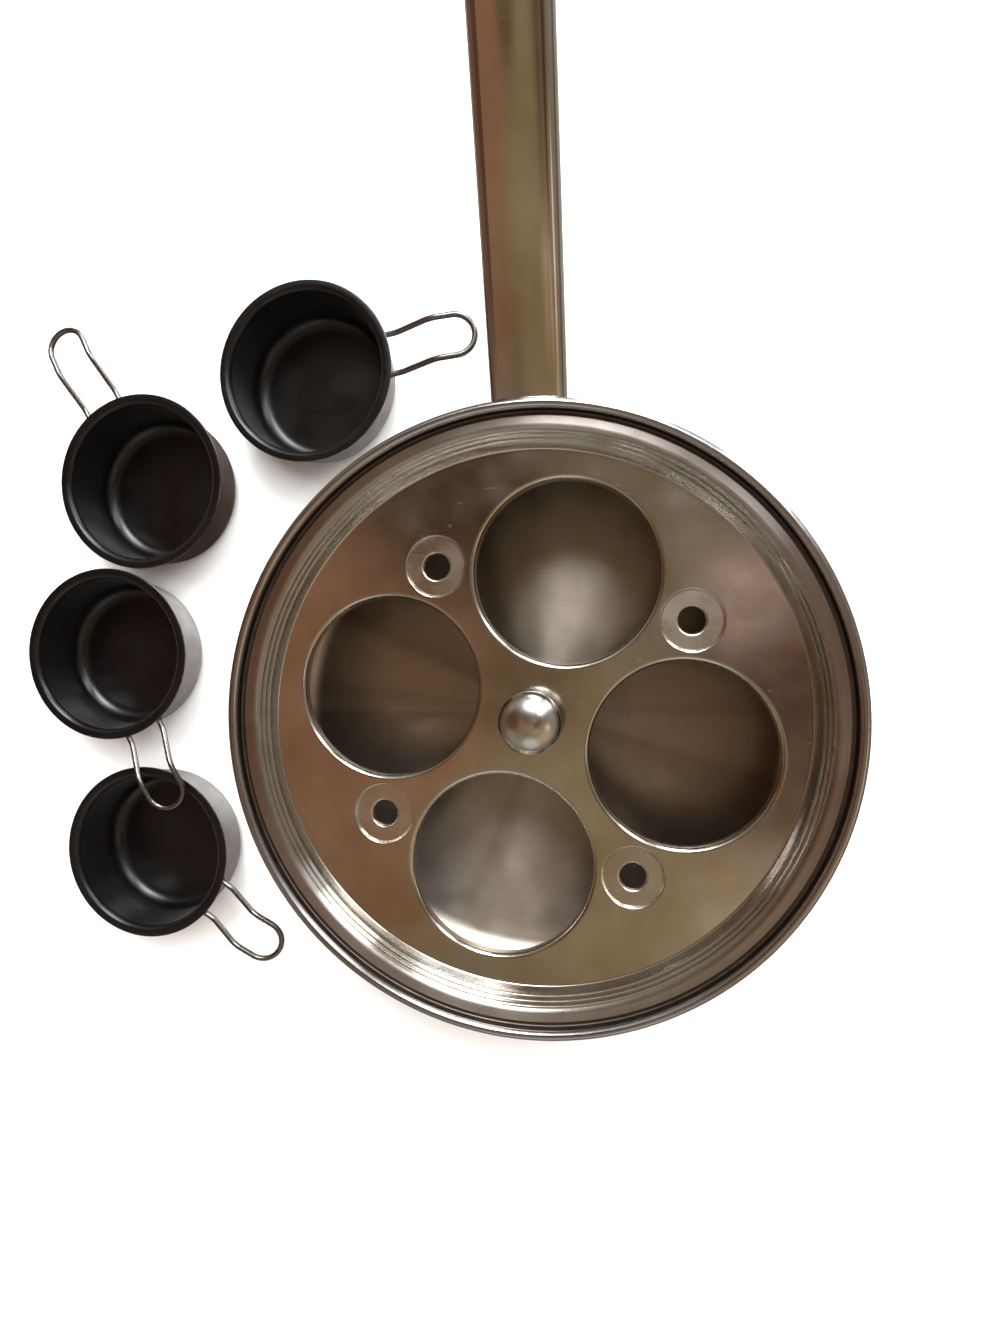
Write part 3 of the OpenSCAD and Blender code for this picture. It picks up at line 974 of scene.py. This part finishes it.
        pick(bar, "FACE", is_root)
        bpy.ops.mesh.delete(type="FACE")
        close_edit(turn_out=False)
        halves = []
        for name, upper in (("handle_upper_shell", True), ("handle_lower_shell", False)):
            half = copy_of(bar, name)
            edit_all(half)
            gap = self.seam_gap / (2 if upper else -2)
            bpy.ops.mesh.bisect(
                plane_co=(0, 0, (self.seam - self.depth + gap) * MM),
                plane_no=(0, 0, 1),
                clear_inner=upper,
                clear_outer=not upper,
                use_fill=False,
            )
            close_edit(turn_out=False)
            apply_modifier(half, "SOLIDIFY", thickness=self.sheet * MM, offset=-1.0, use_even_offset=True)
            half.matrix_basis = place
            bake_place(half)
            halves.append(half)
        bpy.data.objects.remove(bar)
        return halves[0], halves[1]

    def build(self, nodes: dict[str, bpy.types.Object]) -> None:
        """Make and dress the handle.

        Args:
            nodes: the CAD nodes by name.
        """
        # The clearest mirror of all, with fine scratches from the hand and the hook
        polished = PolishedSteel("stainless_steel_buffed_handle", roughness=0.1, ripple=0.12).make()
        for half, node in zip(self.shells(), ("handle_upper", "handle_lower")):
            dress(half, polished)
            put_in_place(half, "pan", "handle_steel", node)
        # Plain grey press finish that nobody polished, as it is hidden
        pressed = DrawnMetal("stainless_steel_pressed", tint="#a5a29c", roughness=0.3).make()
        nodes["handle_saddle"].material_slots[0].material = pressed


@dataclass
class Tray:
    """The pressed poaching tray with its cup holes and steam vents."""

    sheet: float = 0.7
    flange_r: float = 101.3
    flange_w: float = 3.6
    flange_z: float = 48.15
    depth: float = 7.4
    lean: float = 5.3
    foot_bend: float = 1.2
    top_bend: float = 2.0
    bead_at: tuple[float, ...] = (0.41, 0.62, 0.82)
    bead_span: tuple[float, float] = (0.2, 0.87)
    floor_lip: float = 1.3
    bead_half: float = 0.3
    bead_rise: float = 0.06
    hole_d: float = 63.0
    hole_pitch: float = 51.7
    turn: float = 77.0
    collar: float = 3.6
    collar_bend: float = 1.3
    vent_d: float = 9.0
    vent_bend: float = 0.6
    pad_d: float = 21.6
    pad_depth: float = 0.9
    vent_pitch: float = 63.0
    screw_hole_d: float = 4.6

    @property
    def floor_z(self) -> float:
        """Height of the floor's middle line."""
        return self.flange_z - self.depth

    def dish(self) -> bpy.types.Object:
        """Spin the slanting wall, with its fine beads, and the flange on the middle of the sheet.

        Returns:
            An open skin that starts on the floor's edge.
        """
        top = self.flange_r - self.flange_w
        foot = Vector((top - self.lean, self.floor_z))
        along = Vector((self.lean, self.depth))
        inward = Vector((-along.y, along.x)).normalized()
        low, high = (foot + along * share for share in self.bead_span)
        line = sheet_line([
            Corner(foot.x - self.floor_lip, foot.y),
            Corner(foot.x, foot.y, self.foot_bend),
            Corner(low.x, low.y),
        ], step=9.0)
        for share in self.bead_at:
            for k in range(-5, 6):
                spot = foot + along * share + along.normalized() * (self.bead_half * k / 5)
                line.append(spot + inward * (self.bead_rise * (1 + math.cos(math.pi * k / 5)) / 2))
        line += sheet_line([
            Corner(high.x, high.y),
            Corner(top, self.flange_z, self.top_bend),
            Corner(self.flange_r, self.flange_z),
        ], step=9.0)
        return lathe("tray_dish", line, 240)

    def collar_ring(self) -> bpy.types.Object:
        """Spin one cup hole's rounded shoulder and collar about the origin.

        Returns:
            An open skin.
        """
        r = self.hole_d / 2 + self.sheet / 2
        line = sheet_line([
            Corner(r, self.floor_z - self.collar),
            Corner(r, self.floor_z, self.collar_bend),
            Corner(r + self.collar_bend + 0.3, self.floor_z),
        ], guard=0.15, step=10.0)
        return lathe("tray_collar", line, 128)

    def vent_ring(self) -> bpy.types.Object:
        """Spin one vent with its shallow round recess about the origin.

        Returns:
            An open skin.
        """
        r = self.vent_d / 2 + self.sheet / 2
        low = self.floor_z - self.pad_depth
        pad = self.pad_d / 2
        line = sheet_line([
            Corner(r, low - 1.6),
            Corner(r, low, self.vent_bend),
            Corner(pad - 0.8 * self.pad_depth, low, 0.35),
            Corner(pad, self.floor_z, 0.35),
            Corner(pad + 0.3, self.floor_z),
        ], guard=0.15, step=15.0)
        return lathe("tray_vent", line, 72)

    def plate(self) -> bpy.types.Object:
        """Join dish, collars and vents with the flat floor between them and give it thickness.

        Returns:
            The tray.
        """
        parts = [self.dish()]
        for make, pitch, turn in (
            (self.collar_ring, self.hole_pitch, self.turn),
            (self.vent_ring, self.vent_pitch, self.turn + 45),
        ):
            ring = make()
            for k in range(4):
                twin = copy_of(ring, f"{ring.name}_{k + 1}")
                spot = polar(pitch, turn + 90 * k)
                twin.matrix_basis = Matrix.Translation((spot.x * MM, spot.y * MM, 0))
                bake_place(twin)
                parts.append(twin)
            bpy.data.objects.remove(ring)
        clear_selection()
        bpy.ops.mesh.primitive_circle_add(
            vertices=48, radius=self.screw_hole_d / 2 * MM, location=(0, 0, self.floor_z * MM)
        )
        hole = bpy.context.object
        bake_place(hole)
        tray = join([*parts, hole])
        tray.name = tray.data.name = "tray_plate"
        edit_all(tray)
        bpy.ops.mesh.remove_doubles(threshold=MERGE)
        bpy.ops.mesh.select_mode(type="EDGE")
        bpy.ops.mesh.select_all(action="DESELECT")
        bpy.ops.mesh.select_non_manifold(
            extend=False, use_multi_face=False, use_non_contiguous=False, use_verts=False
        )
        self.keep_floor_edges(tray)
        bpy.ops.mesh.fill(use_beauty=True)
        close_edit()
        self.face_up(tray)
        apply_modifier(tray, "SOLIDIFY", thickness=self.sheet * MM, offset=0.0, use_even_offset=True)
        return tray

    def keep_floor_edges(self, tray: bpy.types.Object) -> None:
        """Of the selected open edges, keep only those on the floor.

        Args:
            tray: the joined skins, open in edit mode.
        """
        bpy.ops.object.mode_set(mode="OBJECT")
        mesh = tray.data
        for edge in mesh.edges:
            heights = [mesh.vertices[v].co.z / MM for v in edge.vertices]
            if edge.select and any(abs(z - self.floor_z) > 0.01 for z in heights):
                edge.select = False
        for vertex in mesh.vertices:
            vertex.select = False
        for edge in mesh.edges:
            if edge.select:
                for v in edge.vertices:
                    mesh.vertices[v].select = True
        bpy.ops.object.mode_set(mode="EDIT")

    def face_up(self, tray: bpy.types.Object) -> None:
        """Turn the whole skin over if its floor faces down.

        Args:
            tray: the open skin.
        """
        up = sum(f.normal.z * f.area for f in tray.data.polygons)
        if up < 0:
            edit_all(tray, "FACE")
            bpy.ops.mesh.flip_normals()
            bpy.ops.object.mode_set(mode="OBJECT")

    def build(self) -> None:
        """Make and dress the tray."""
        tray = self.plate()
        # A mirror of the room with long scratches, washing stains and slow waves
        polished = PolishedSteel("stainless_steel_buffed_tray", roughness=0.14, ripple=0.3, scuff=0.12)
        # Cloudy pads, rubbed grey by the stamp and by scouring
        rubbed = PolishedSteel(
            "stainless_steel_stamped_matt", tint="#cbc5bb", roughness=0.25, worn=Scratches.MANY, ripple=0.2
        )
        # Satin band whose light is drawn out across the grain
        satin = TurnedSteel(
            "stainless_steel_flange_turned", tint="#b5aeaa", painted_shade_tint="#a0968f", roughness=0.3, stretch=0.85
        )
        # Cleanest part of the tray: crisp bright rings along the beads
        bright = PolishedSteel(
            "stainless_steel_buffed_wall", roughness=0.12, worn=Scratches.FEW, ripple=0.3, scuff=0.03
        )
        dress(tray, polished.make(), rubbed.make(), satin.make(), bright.make())
        edge = self.flange_r - self.flange_w - 0.6
        for slot, reach in ((3, edge - self.lean - 0.9), (2, edge)):
            paint(tray, slot, lambda c, n: c.xy.length > reach)
        vents = [polar(self.vent_pitch, self.turn + 45 + 90 * k) for k in range(4)]
        reach = self.pad_d / 2 - 0.1
        paint(tray, 1, lambda c, n: min((c.xy - v).length for v in vents) < reach)
        put_in_place(tray, "tray", "tray_steel", "tray")


@dataclass
class Knob:
    """The lifting knob: a hollow dome on a neck, held by a screw from below."""

    seat_z: float = 41.1
    width: float = 21.4
    height: float = 17.0
    sheet: float = 0.8
    neck: float = 6.42
    widest: float = 0.62
    skirt: float = 0.12
    overlap: float = 0.95
    seat: float = 0.5
    bore_r: float = 2.05
    bore_depth: float = 0.55
    bevel: float = 0.3
    foot_out: float = 1.2
    foot_h: float = 1.6
    foot_round: float = 2.6
    shoulder_w: float = 1.8
    shoulder_drop: float = 0.6
    spigot_out: float = 0.4
    spigot_h: float = 2.2
    spigot_bevel: float = 0.2
    gap: float = 0.06

    def dome(self) -> bpy.types.Object:
        """Spin the dome with its edge rolled in.

        Returns:
            The dome.
        """
        r = self.width / 2 - self.sheet / 2
        widest = self.seat_z + self.widest * self.height
        skirt = self.skirt * self.height - self.sheet / 2
        rise = self.height - self.sheet / 2 - self.widest * self.height
        crown = [math.radians(d) for d in range(90, -1, -5)]
        tuck = [math.radians(-d) for d in range(10, 91, 10)]
        line = [Vector((r * math.cos(a), widest + rise * math.sin(a))) for a in crown]
        line[0].x = 0.0
        line += [Vector((r - skirt + skirt * math.cos(a), widest + skirt * math.sin(a))) for a in tuck]
        line.append(Vector((self.neck + self.overlap, widest - skirt)))
        return lathe("knob_cap", sheet_outline(line, self.sheet), 128)

    def boss(self) -> bpy.types.Object:
        """Spin the neck with its flared foot.

        Returns:
            The neck, bored for the screw.
        """
        z, bore, neck, curve = self.seat_z, self.bore_r, self.neck, self.foot_round
        foot = neck + self.foot_out
        seat, deep = z + self.seat * self.height, z + self.bore_depth * self.height
        outline = [(0, deep), (bore, deep), (bore, z + self.bevel), (bore + self.bevel, z)]
        outline += [(foot - self.bevel, z), (foot, z + self.bevel), (foot, z + self.foot_h)]
        outline += [
            (foot - curve * math.sin(a), z + self.foot_h + curve * (1 - math.cos(a)))
            for a in (math.radians(d) for d in range(10, 91, 10))
        ]
        spigot = neck + self.spigot_out
        outline += [
            (foot - curve, seat - self.shoulder_drop), (neck + self.shoulder_w, seat - self.gap),
            (spigot, seat - self.gap), (spigot, seat + self.spigot_h - self.spigot_bevel),
            (neck, seat + self.spigot_h), (0, seat + self.spigot_h),
        ]
        return lathe("knob_neck", [Vector(spot) for spot in outline], 96)

    def build(self, nodes: dict[str, bpy.types.Object]) -> None:
        """Make and dress the knob.

        Args:
            nodes: the CAD nodes by name.
        """
        dome = self.dome()
        # A small round mirror, hazy from handling, so that a window in it is a soft spot
        buffed = PolishedSteel("stainless_steel_buffed_knob", roughness=0.19, worn=Scratches.FEW, ripple=0.1)
        dress(dome, buffed.make())
        put_in_place(dome, "tray", "knob_steel", "knob_dome")
        boss = self.boss()
        # Fine lathe rings that catch a narrow light
        dress(boss, TurnedSteel("stainless_steel_turned_neck", roughness=0.22, stretch=0.4).make())
        put_in_place(boss, "tray", "boss_steel", "knob_boss")
        # Cold bluish grey with a faint cloudy bloom
        plated = DrawnMetal(
            "steel_zinc_plated", tint="#b3b6ba", roughness=0.25, scale=(900.0, 900.0, 900.0)
        ).make()
        for name in ("knob_screw", "knob_washer"):
            nodes[name].material_slots[0].material = plated


@dataclass(frozen=True)
class CupPlace:
    """Where a cup stands: its centre in millimetres and the direction of its finger loop."""

    x: float
    y: float
    loop: float


@dataclass
class Cup:
    """A pressed, coated cup with its wire ring and finger loop."""

    number: int
    place: CupPlace
    wall_r: float = 30.8
    flange_w: float = 3.2
    height: float = 24.0
    sheet: float = 0.9
    corner: float = 6.5
    neck_bend: float = 1.8
    draft: float = 0.6
    wire_d: float = 2.1
    ring_gap: float = 0.05
    loop_w: float = 14.8
    loop_reach: float = 33.6
    rise: float = 22.0
    fall: float = 8.0
    root_bend: float = 3.5
    level: float = 0.6
    rim_clear: float = 0.4
    up_bend: float = 8.0
    down_bend: float = 10.0
    tip_run: float = 5.4
    trim: float = 0.002

    @property
    def centre(self) -> Vector:
        """The cup's axis, in millimetres."""
        return Vector((self.place.x, self.place.y))

    @property
    def nest(self) -> float:
        """How far the wire's ring lies out from the wall and below the rim."""
        hollow, room = self.neck_bend - self.sheet / 2, self.wire_d / 2 + self.ring_gap
        return max(room, hollow - (hollow - room) / math.sqrt(2))

    def bowl(self) -> bpy.types.Object:
        """Spin the cup with its flat rim.

        Returns:
            The cup, in its place.
        """
        flange_z = self.height - self.sheet / 2
        line = sheet_line([
            Corner(0, self.sheet / 2),
            Corner(self.wall_r - self.draft - self.sheet / 2, self.sheet / 2, self.corner),
            Corner(self.wall_r - self.sheet / 2, flange_z, self.neck_bend),
            Corner(self.wall_r + self.flange_w - self.sheet / 2 - self.trim, flange_z),
        ])
        return lathe(f"cup_{self.number}_bowl", sheet_outline(line, self.sheet), 160, self.centre)

    def leg(self, ring_z: float, root_x: float) -> list[Vector]:
        """Side view of a leg of the finger loop, from the ring to the round tip.

        Args:
            ring_z: height of the wire's ring.
            root_x: distance out at which the root's bend ends.

        Returns:
            Points as (distance out, height).
        """
        wire = self.wire_d / 2
        up, down = math.radians(self.rise), math.radians(self.fall)
        rim = self.wall_r + self.flange_w
        start = root_x + max(self.level, rim + wire + self.rim_clear - root_x)
        tip = rim + self.loop_reach - wire - self.loop_w / 2 * math.cos(down)
        run = tip - start - self.up_bend * math.sin(up) - self.down_bend * (math.sin(up) + math.sin(down))
        run = (run - self.tip_run * math.cos(down)) / math.cos(up)
        points = [
            Vector((start + self.up_bend * math.sin(a), ring_z + self.up_bend * (1 - math.cos(a))))
            for a in (up * i / 6 for i in range(7))
        ]
        last = points[-1] + Vector((run * math.cos(up), run * math.sin(up)))
        hub = last + Vector((self.down_bend * math.sin(up), -self.down_bend * math.cos(up)))
        points += [
            hub + self.down_bend * Vector((-math.sin(a), math.cos(a)))
            for a in (up - (up + down) * i / 8 for i in range(9))
        ]
        return points

    def wire_line(self) -> list[Vector]:
        """Middle line of the wire: a leg, the round tip, the other leg and the ring.

        Returns:
            3D points in the cup's own frame, the loop along +X, in millimetres.
        """
        ring_r = self.wall_r + self.nest
        ring_z = self.height - self.sheet - self.nest
        half_w = self.loop_w / 2
        down = math.radians(self.fall)
        open_by = math.asin((half_w + self.root_bend) / (ring_r + self.root_bend))
        root_hub = polar(ring_r + self.root_bend, math.degrees(open_by))
        leg = self.leg(ring_z, root_hub.x)
        root = []
        for i in range(9):
            bent = open_by + (math.pi / 2 - open_by) * i / 8
            spot = root_hub + polar(self.root_bend, 180 + math.degrees(bent))
            root.append(Vector((spot.x, spot.y, ring_z)))
        half = root + [Vector((p.x, half_w, p.y)) for p in leg]
        end = leg[-1] + self.tip_run * Vector((math.cos(down), -math.sin(down)))
        tip = [
            Vector((end.x + half_w * math.cos(a) * math.cos(down), half_w * math.sin(a),
                    end.y - half_w * math.cos(a) * math.sin(down)))
            for a in (math.radians(d) for d in range(90, -91, -9))
        ]
        other = [Vector((p.x, -p.y, p.z)) for p in reversed(half)]
        # The ring starts just past one leg's root and stops just short of the other's, in degrees
        past, short = 3, 4
        first, last = -math.degrees(open_by) - past, math.degrees(open_by) + short - 360
        ring = [polar(ring_r, first + (last - first) * i / 100) for i in range(101)]
        return half + tip + other + [Vector((p.x, p.y, ring_z)) for p in ring]

    def loop(self) -> bpy.types.Object:
        """Bend the wire and put it round the cup.

        Returns:
            The wire, in its place.
        """
        obj = tube(f"cup_{self.number}_wire_loop", self.wire_line(), self.wire_d / 2)
        obj.matrix_basis = Matrix.Translation((self.place.x * MM, self.place.y * MM, 0)) @ Matrix.Rotation(
            math.radians(self.place.loop), 4, "Z"
        )
        bake_place(obj)
        return obj

    def build(self, coating: bpy.types.Material, bare: bpy.types.Material, wire: bpy.types.Material) -> None:
        """Make and dress the cup and its wire.

        Args:
            coating: finish of the inside and the top of the rim.
            bare: finish of the outside.
            wire: finish of the wire.
        """
        body = f"poaching_cup_{self.number}"
        bowl = self.bowl()
        dress(bowl, bare, coating, wire)
        rim = self.height - self.sheet * 0.45

        def is_inside(centre: Vector, normal: Vector) -> bool:
            """Tell whether a face belongs to the coated side.

            Args:
                centre: the face's centre.
                normal: its normal.

            Returns:
                True for the inside and the top of the rim.
            """
            arm = centre.xy - self.centre
            up, inward = normal.z > 0.05, arm.dot(normal.xy) < 0
            near, wall = arm.length, self.wall_r
            within = (up and near < wall + 1.5) or (inward and near < wall)
            return centre.z > rim or (centre.z > 0.6 and within)

        def is_worn(centre: Vector, normal: Vector) -> bool:
            """Whether a face belongs to the rim's outer edge, where the coating has worn off."""
            out = (centre.xy - self.centre).dot(normal.xy)
            return centre.z > self.height - self.sheet and out > 0 and 0.05 < normal.z < 0.8

        paint(bowl, 1, is_inside)
        paint(bowl, 2, is_worn)
        put_in_place(bowl, body, "cup_coating", f"cup_{self.number}")
        loop = self.loop()
        dress(loop, wire)
        put_in_place(loop, body, "wire_steel", f"cup_wire_{self.number}")


CUP_PLACES = (
    CupPlace(-87.2911, 130.0990, 8.0),
    CupPlace(-155.7915, 91.5955, 117.7),
    CupPlace(-172.3955, 24.0977, -64.2),
    CupPlace(-157.1015, -54.8037, -32.7),
)


# ---------------------------------------------------------------- studio


@dataclass(frozen=True)
class Glow:
    """A soft round patch of the room that polished steel mirrors, by its direction in degrees."""

    azimuth: float
    elevation: float
    inner: float
    outer: float
    colour: str
    strength: float = 1.0


@dataclass(frozen=True)
class Window:
    """A tall window of the room, by its direction in degrees."""

    azimuth: float
    half: float
    low: float
    high: float
    colour: str
    strength: float
    soft: float = 1.5


@dataclass
class Studio:
    """Floor, lights, surroundings and camera."""

    focal: float = 27.45
    eye: tuple[float, float, float] = (0.02741, 0.02601, 0.30072)
    ahead: tuple[float, float, float] = (-0.14735, -0.02881, -0.98866)
    right: tuple[float, float, float] = (0.98905, -0.01208, -0.14706)
    lamp_at: tuple[float, float, float] = (0.4, 0.65, 1.4)
    lamp_size: float = 1.6
    lamp_power: float = 50.0

    def camera(self) -> None:
        """Put the camera where the photograph was taken from."""
        lens = bpy.data.cameras.new("camera")
        lens.sensor_fit = "HORIZONTAL"
        lens.sensor_width = 36.0
        lens.lens = self.focal
        lens.clip_start = 0.01
        obj = bpy.data.objects.new("camera", lens)
        bpy.context.scene.collection.objects.link(obj)
        back = -Vector(self.ahead).normalized()
        side = Vector(self.right).normalized()
        up = back.cross(side).normalized()
        turn = Matrix((side, up, back)).transposed().to_4x4()
        obj.matrix_world = Matrix.Translation(self.eye) @ turn
        bpy.context.scene.camera = obj

    def floor(self) -> None:
        """Lay a plain pale floor."""
        clear_selection()
        bpy.ops.mesh.primitive_plane_add(size=8.0, location=(0, 0, -0.0003))
        obj = bpy.context.object
        obj.name = "studio_floor"
        bake_place(obj)
        material, tree = new_material("studio_floor_paper")
        shader = add(tree, "BsdfPrincipled", {"Base Color": linear("#f1f1f0"), "Roughness": 0.9})
        add(tree, "OutputMaterial", {"Surface": shader.outputs[0]})
        dress(obj, material)
        obj.visible_glossy = False

    def lamp(self) -> None:
        """Hang a soft square light that faces the pan; polished metal doesn't mirror it."""
        data = bpy.data.lights.new("softbox_over", "AREA")
        data.shape = "SQUARE"
        data.size = self.lamp_size
        data.energy = self.lamp_power
        obj = bpy.data.objects.new("softbox_over", data)
        bpy.context.scene.collection.objects.link(obj)
        spot = Vector(self.lamp_at)
        obj.matrix_world = Matrix.Translation(spot) @ (-spot).to_track_quat("-Z", "Y").to_matrix().to_4x4()
        obj.visible_glossy = False
        obj.visible_camera = False

    def glow(
        self, tree: bpy.types.NodeTree, way: bpy.types.NodeSocket, patch: Glow
    ) -> bpy.types.NodeSocket:
        """Share of a soft round patch.

        Args:
            tree: the world's node tree.
            way: direction of view.
            patch: the patch.

        Returns:
            A socket that is 1 inside the patch and 0 outside.
        """
        flat = polar(math.cos(math.radians(patch.elevation)), patch.azimuth)
        axis = (flat.x, flat.y, math.sin(math.radians(patch.elevation)))
        near = add(tree, "VectorMath", {0: way, 1: axis}, operation="DOT_PRODUCT").outputs["Value"]
        none, full = math.cos(math.radians(patch.outer)), math.cos(math.radians(patch.inner))
        edge = {"Value": near, "From Min": none, "From Max": full}
        return add(tree, "MapRange", edge, interpolation_type="SMOOTHSTEP").outputs[0]

    def window(
        self, tree: bpy.types.NodeTree, way: bpy.types.NodeSocket, pane: Window
    ) -> bpy.types.NodeSocket:
        """Share of a window.

        Args:
            tree: the world's node tree.
            way: direction of view.
            pane: the window.

        Returns:
            A socket that is 1 inside the window and 0 outside.
        """
        parts = add(tree, "SeparateXYZ", {0: way})
        azimuth = add(tree, "Math", {0: parts.outputs[1], 1: parts.outputs[0]}, operation="ARCTAN2")
        beside = add(
            tree, "Math", {0: azimuth.outputs[0], 1: math.radians(pane.azimuth)}, operation="SUBTRACT"
        )
        beside = add(tree, "Math", {0: beside.outputs[0]}, operation="ABSOLUTE")
        height = add(tree, "Math", {0: parts.outputs[2]}, operation="ARCSINE")
        share = None
        for value, full, none in (
            (beside, pane.half - pane.soft, pane.half + pane.soft),
            (height, pane.low + pane.soft, pane.low - pane.soft),
            (height, pane.high - pane.soft, pane.high + pane.soft),
        ):
            edge = {
                "Value": value.outputs[0], "From Min": math.radians(none), "From Max": math.radians(full),
            }
            step = add(tree, "MapRange", edge, interpolation_type="SMOOTHSTEP").outputs[0]
            if share is not None:
                step = add(tree, "Math", {0: share, 1: step}, operation="MULTIPLY").outputs[0]
            share = step
        return share

    def surroundings(self) -> None:
        """Paint the room by direction: pale walls, a warm dim ceiling, soft patches and bright windows."""
        world = bpy.data.worlds.new("room")
        bpy.context.scene.world = world
        world.use_nodes = True
        tree = world.node_tree
        tree.nodes.clear()
        way = add(tree, "TexCoord").outputs["Generated"]
        height = add(tree, "SeparateXYZ", {0: way}).outputs[2]
        half_up = add(tree, "MapRange", {"Value": height, "From Min": -1.0})
        ramp = add(tree, "ValToRGB", {0: half_up.outputs[0]})
        while len(ramp.color_ramp.elements) < len(ROOM_HEIGHTS):
            ramp.color_ramp.elements.new(0.5)
        for element, (at, code) in zip(ramp.color_ramp.elements, ROOM_HEIGHTS):
            element.position = (at + 1) / 2
            element.color = linear(code)
        colour = ramp.outputs[0]
        for patch in (*GLOWS, *WINDOWS, *SKY):
            share = self.glow(tree, way, patch) if isinstance(patch, Glow) else self.window(tree, way, patch)
            bright = tuple(patch.strength * c for c in linear(patch.colour)[:3]) + (1.0,)
            colour = add(tree, "Mix", {0: share, 6: colour, 7: bright}, data_type="RGBA").outputs[2]
        shader = add(tree, "Background", {"Color": colour, "Strength": 1.0})
        add(tree, "OutputWorld", {"Surface": shader.outputs[0]})

    def build(self) -> None:
        """Set up everything that isn't part of the object."""
        self.camera()
        self.floor()
        self.surroundings()
        self.lamp()
        bpy.context.scene.view_settings.view_transform = "Standard"


# Colours of the room by the sine of the height above the horizon
ROOM_HEIGHTS = (
    (-1.0, "#211d1d"), (-0.74, "#2b2726"), (-0.62, "#b3aca6"), (-0.3, "#aea69f"), (-0.06, "#6d635c"),
    (0.12, "#8b7f75"), (0.38, "#a59d93"), (0.7, "#98907f"), (0.9, "#80715a"), (1.0, "#86775f"),
)

# Warm brown walls and ceiling patches first, then the pale lights low over the far and near sides
GLOWS = (
    Glow(azimuth=180, elevation=4, inner=14, outer=40, colour="#84614e"),
    Glow(azimuth=172, elevation=48, inner=14, outer=30, colour="#6a4a38"),
    Glow(azimuth=216, elevation=66, inner=8, outer=12, colour="#a07b62"),
    Glow(azimuth=184, elevation=73, inner=6, outer=13, colour="#a3775c"),
    Glow(azimuth=138, elevation=75, inner=1, outer=10, colour="#503d2c"),
    Glow(azimuth=282, elevation=74, inner=6, outer=19, colour="#a59272"),
    Glow(azimuth=303, elevation=68, inner=3, outer=7, colour="#dcc6b0"),
    Glow(azimuth=322, elevation=73, inner=2, outer=9, colour="#735c49"),
    Glow(azimuth=355, elevation=76, inner=6, outer=12, colour="#5c4136"),
    Glow(azimuth=18, elevation=80, inner=2, outer=4.5, colour="#d6b7a8"),
    Glow(azimuth=200, elevation=82, inner=2, outer=6, colour="#735c42"),
    Glow(azimuth=90, elevation=40, inner=10, outer=30, colour="#d5d6d4", strength=1.3),
    Glow(azimuth=270, elevation=36, inner=8, outer=24, colour="#d2d0cc", strength=1.2),
    Glow(azimuth=318, elevation=40, inner=8, outer=26, colour="#c9ae92", strength=1.1),
    Glow(azimuth=328, elevation=60, inner=5, outer=12, colour="#b0967f"),
    Glow(azimuth=344, elevation=46, inner=3, outer=9, colour="#ecd8cd", strength=1.5),
    Glow(azimuth=40, elevation=-52, inner=25, outer=55, colour="#bdb9b4"),
    Glow(azimuth=330, elevation=-50, inner=15, outer=40, colour="#5a4a40"),
)

# The pale wall round the windows, a narrow side pane and the two bright main panes
WINDOWS = (
    Window(azimuth=62, half=26, low=-24, high=64, colour="#c4c2c0", strength=1.0, soft=5),
    Window(azimuth=34, half=3.2, low=-10, high=60, colour="#d6dade", strength=1.2),
    Window(azimuth=47, half=7.5, low=-26, high=62, colour="#f2f6fa", strength=7.0),
    Window(azimuth=77, half=8.5, low=-26, high=62, colour="#f2f6fa", strength=6.5),
)

# Seen in the cups' floor bends, through the upper panes of the windows
SKY = (Glow(azimuth=86, elevation=47, inner=5, outer=14, colour="#f4f6f8", strength=24.0),)


def main() -> None:
    """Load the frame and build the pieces."""
    logging.basicConfig(level=logging.INFO, format="%(name)s: %(message)s", stream=sys.stdout)
    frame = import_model()
    nodes = frame["nodes"]
    Studio().build()
    Pan().build(nodes)
    Handle().build(nodes)
    Tray().build()
    Knob().build(nodes)
    # Near black inside, with one soft highlight in each floor bend
    coating = SprayedCoating("ptfe_coating_sprayed").make()
    # Pale satin grey with fine lines round the cup; the second cup's is a darker brown copy of it, painted
    # shade
    bare = DrawnMetal("aluminium_deep_drawn", tint="#d0cdca", roughness=0.38, metallic=0.65).make()
    painted_shade_bare = DrawnMetal(
        "aluminium_deep_drawn_painted_shade", tint="#66564d", roughness=0.42, metallic=0.75
    ).make()
    # Mid grey wire with a thin bright line along it
    wire = DrawnMetal(
        "steel_wire_drawn", tint="#86827e", roughness=0.28, scale=(500.0, 500.0, 500.0)
    ).make()
    # Only the second cup wears the painted shade copy of the outside finish
    for number, place in enumerate(CUP_PLACES, start=1):
        Cup(number, place).build(coating, painted_shade_bare if number == 2 else bare, wire)
    clear_selection()


if __name__ == "__main__":
    main()
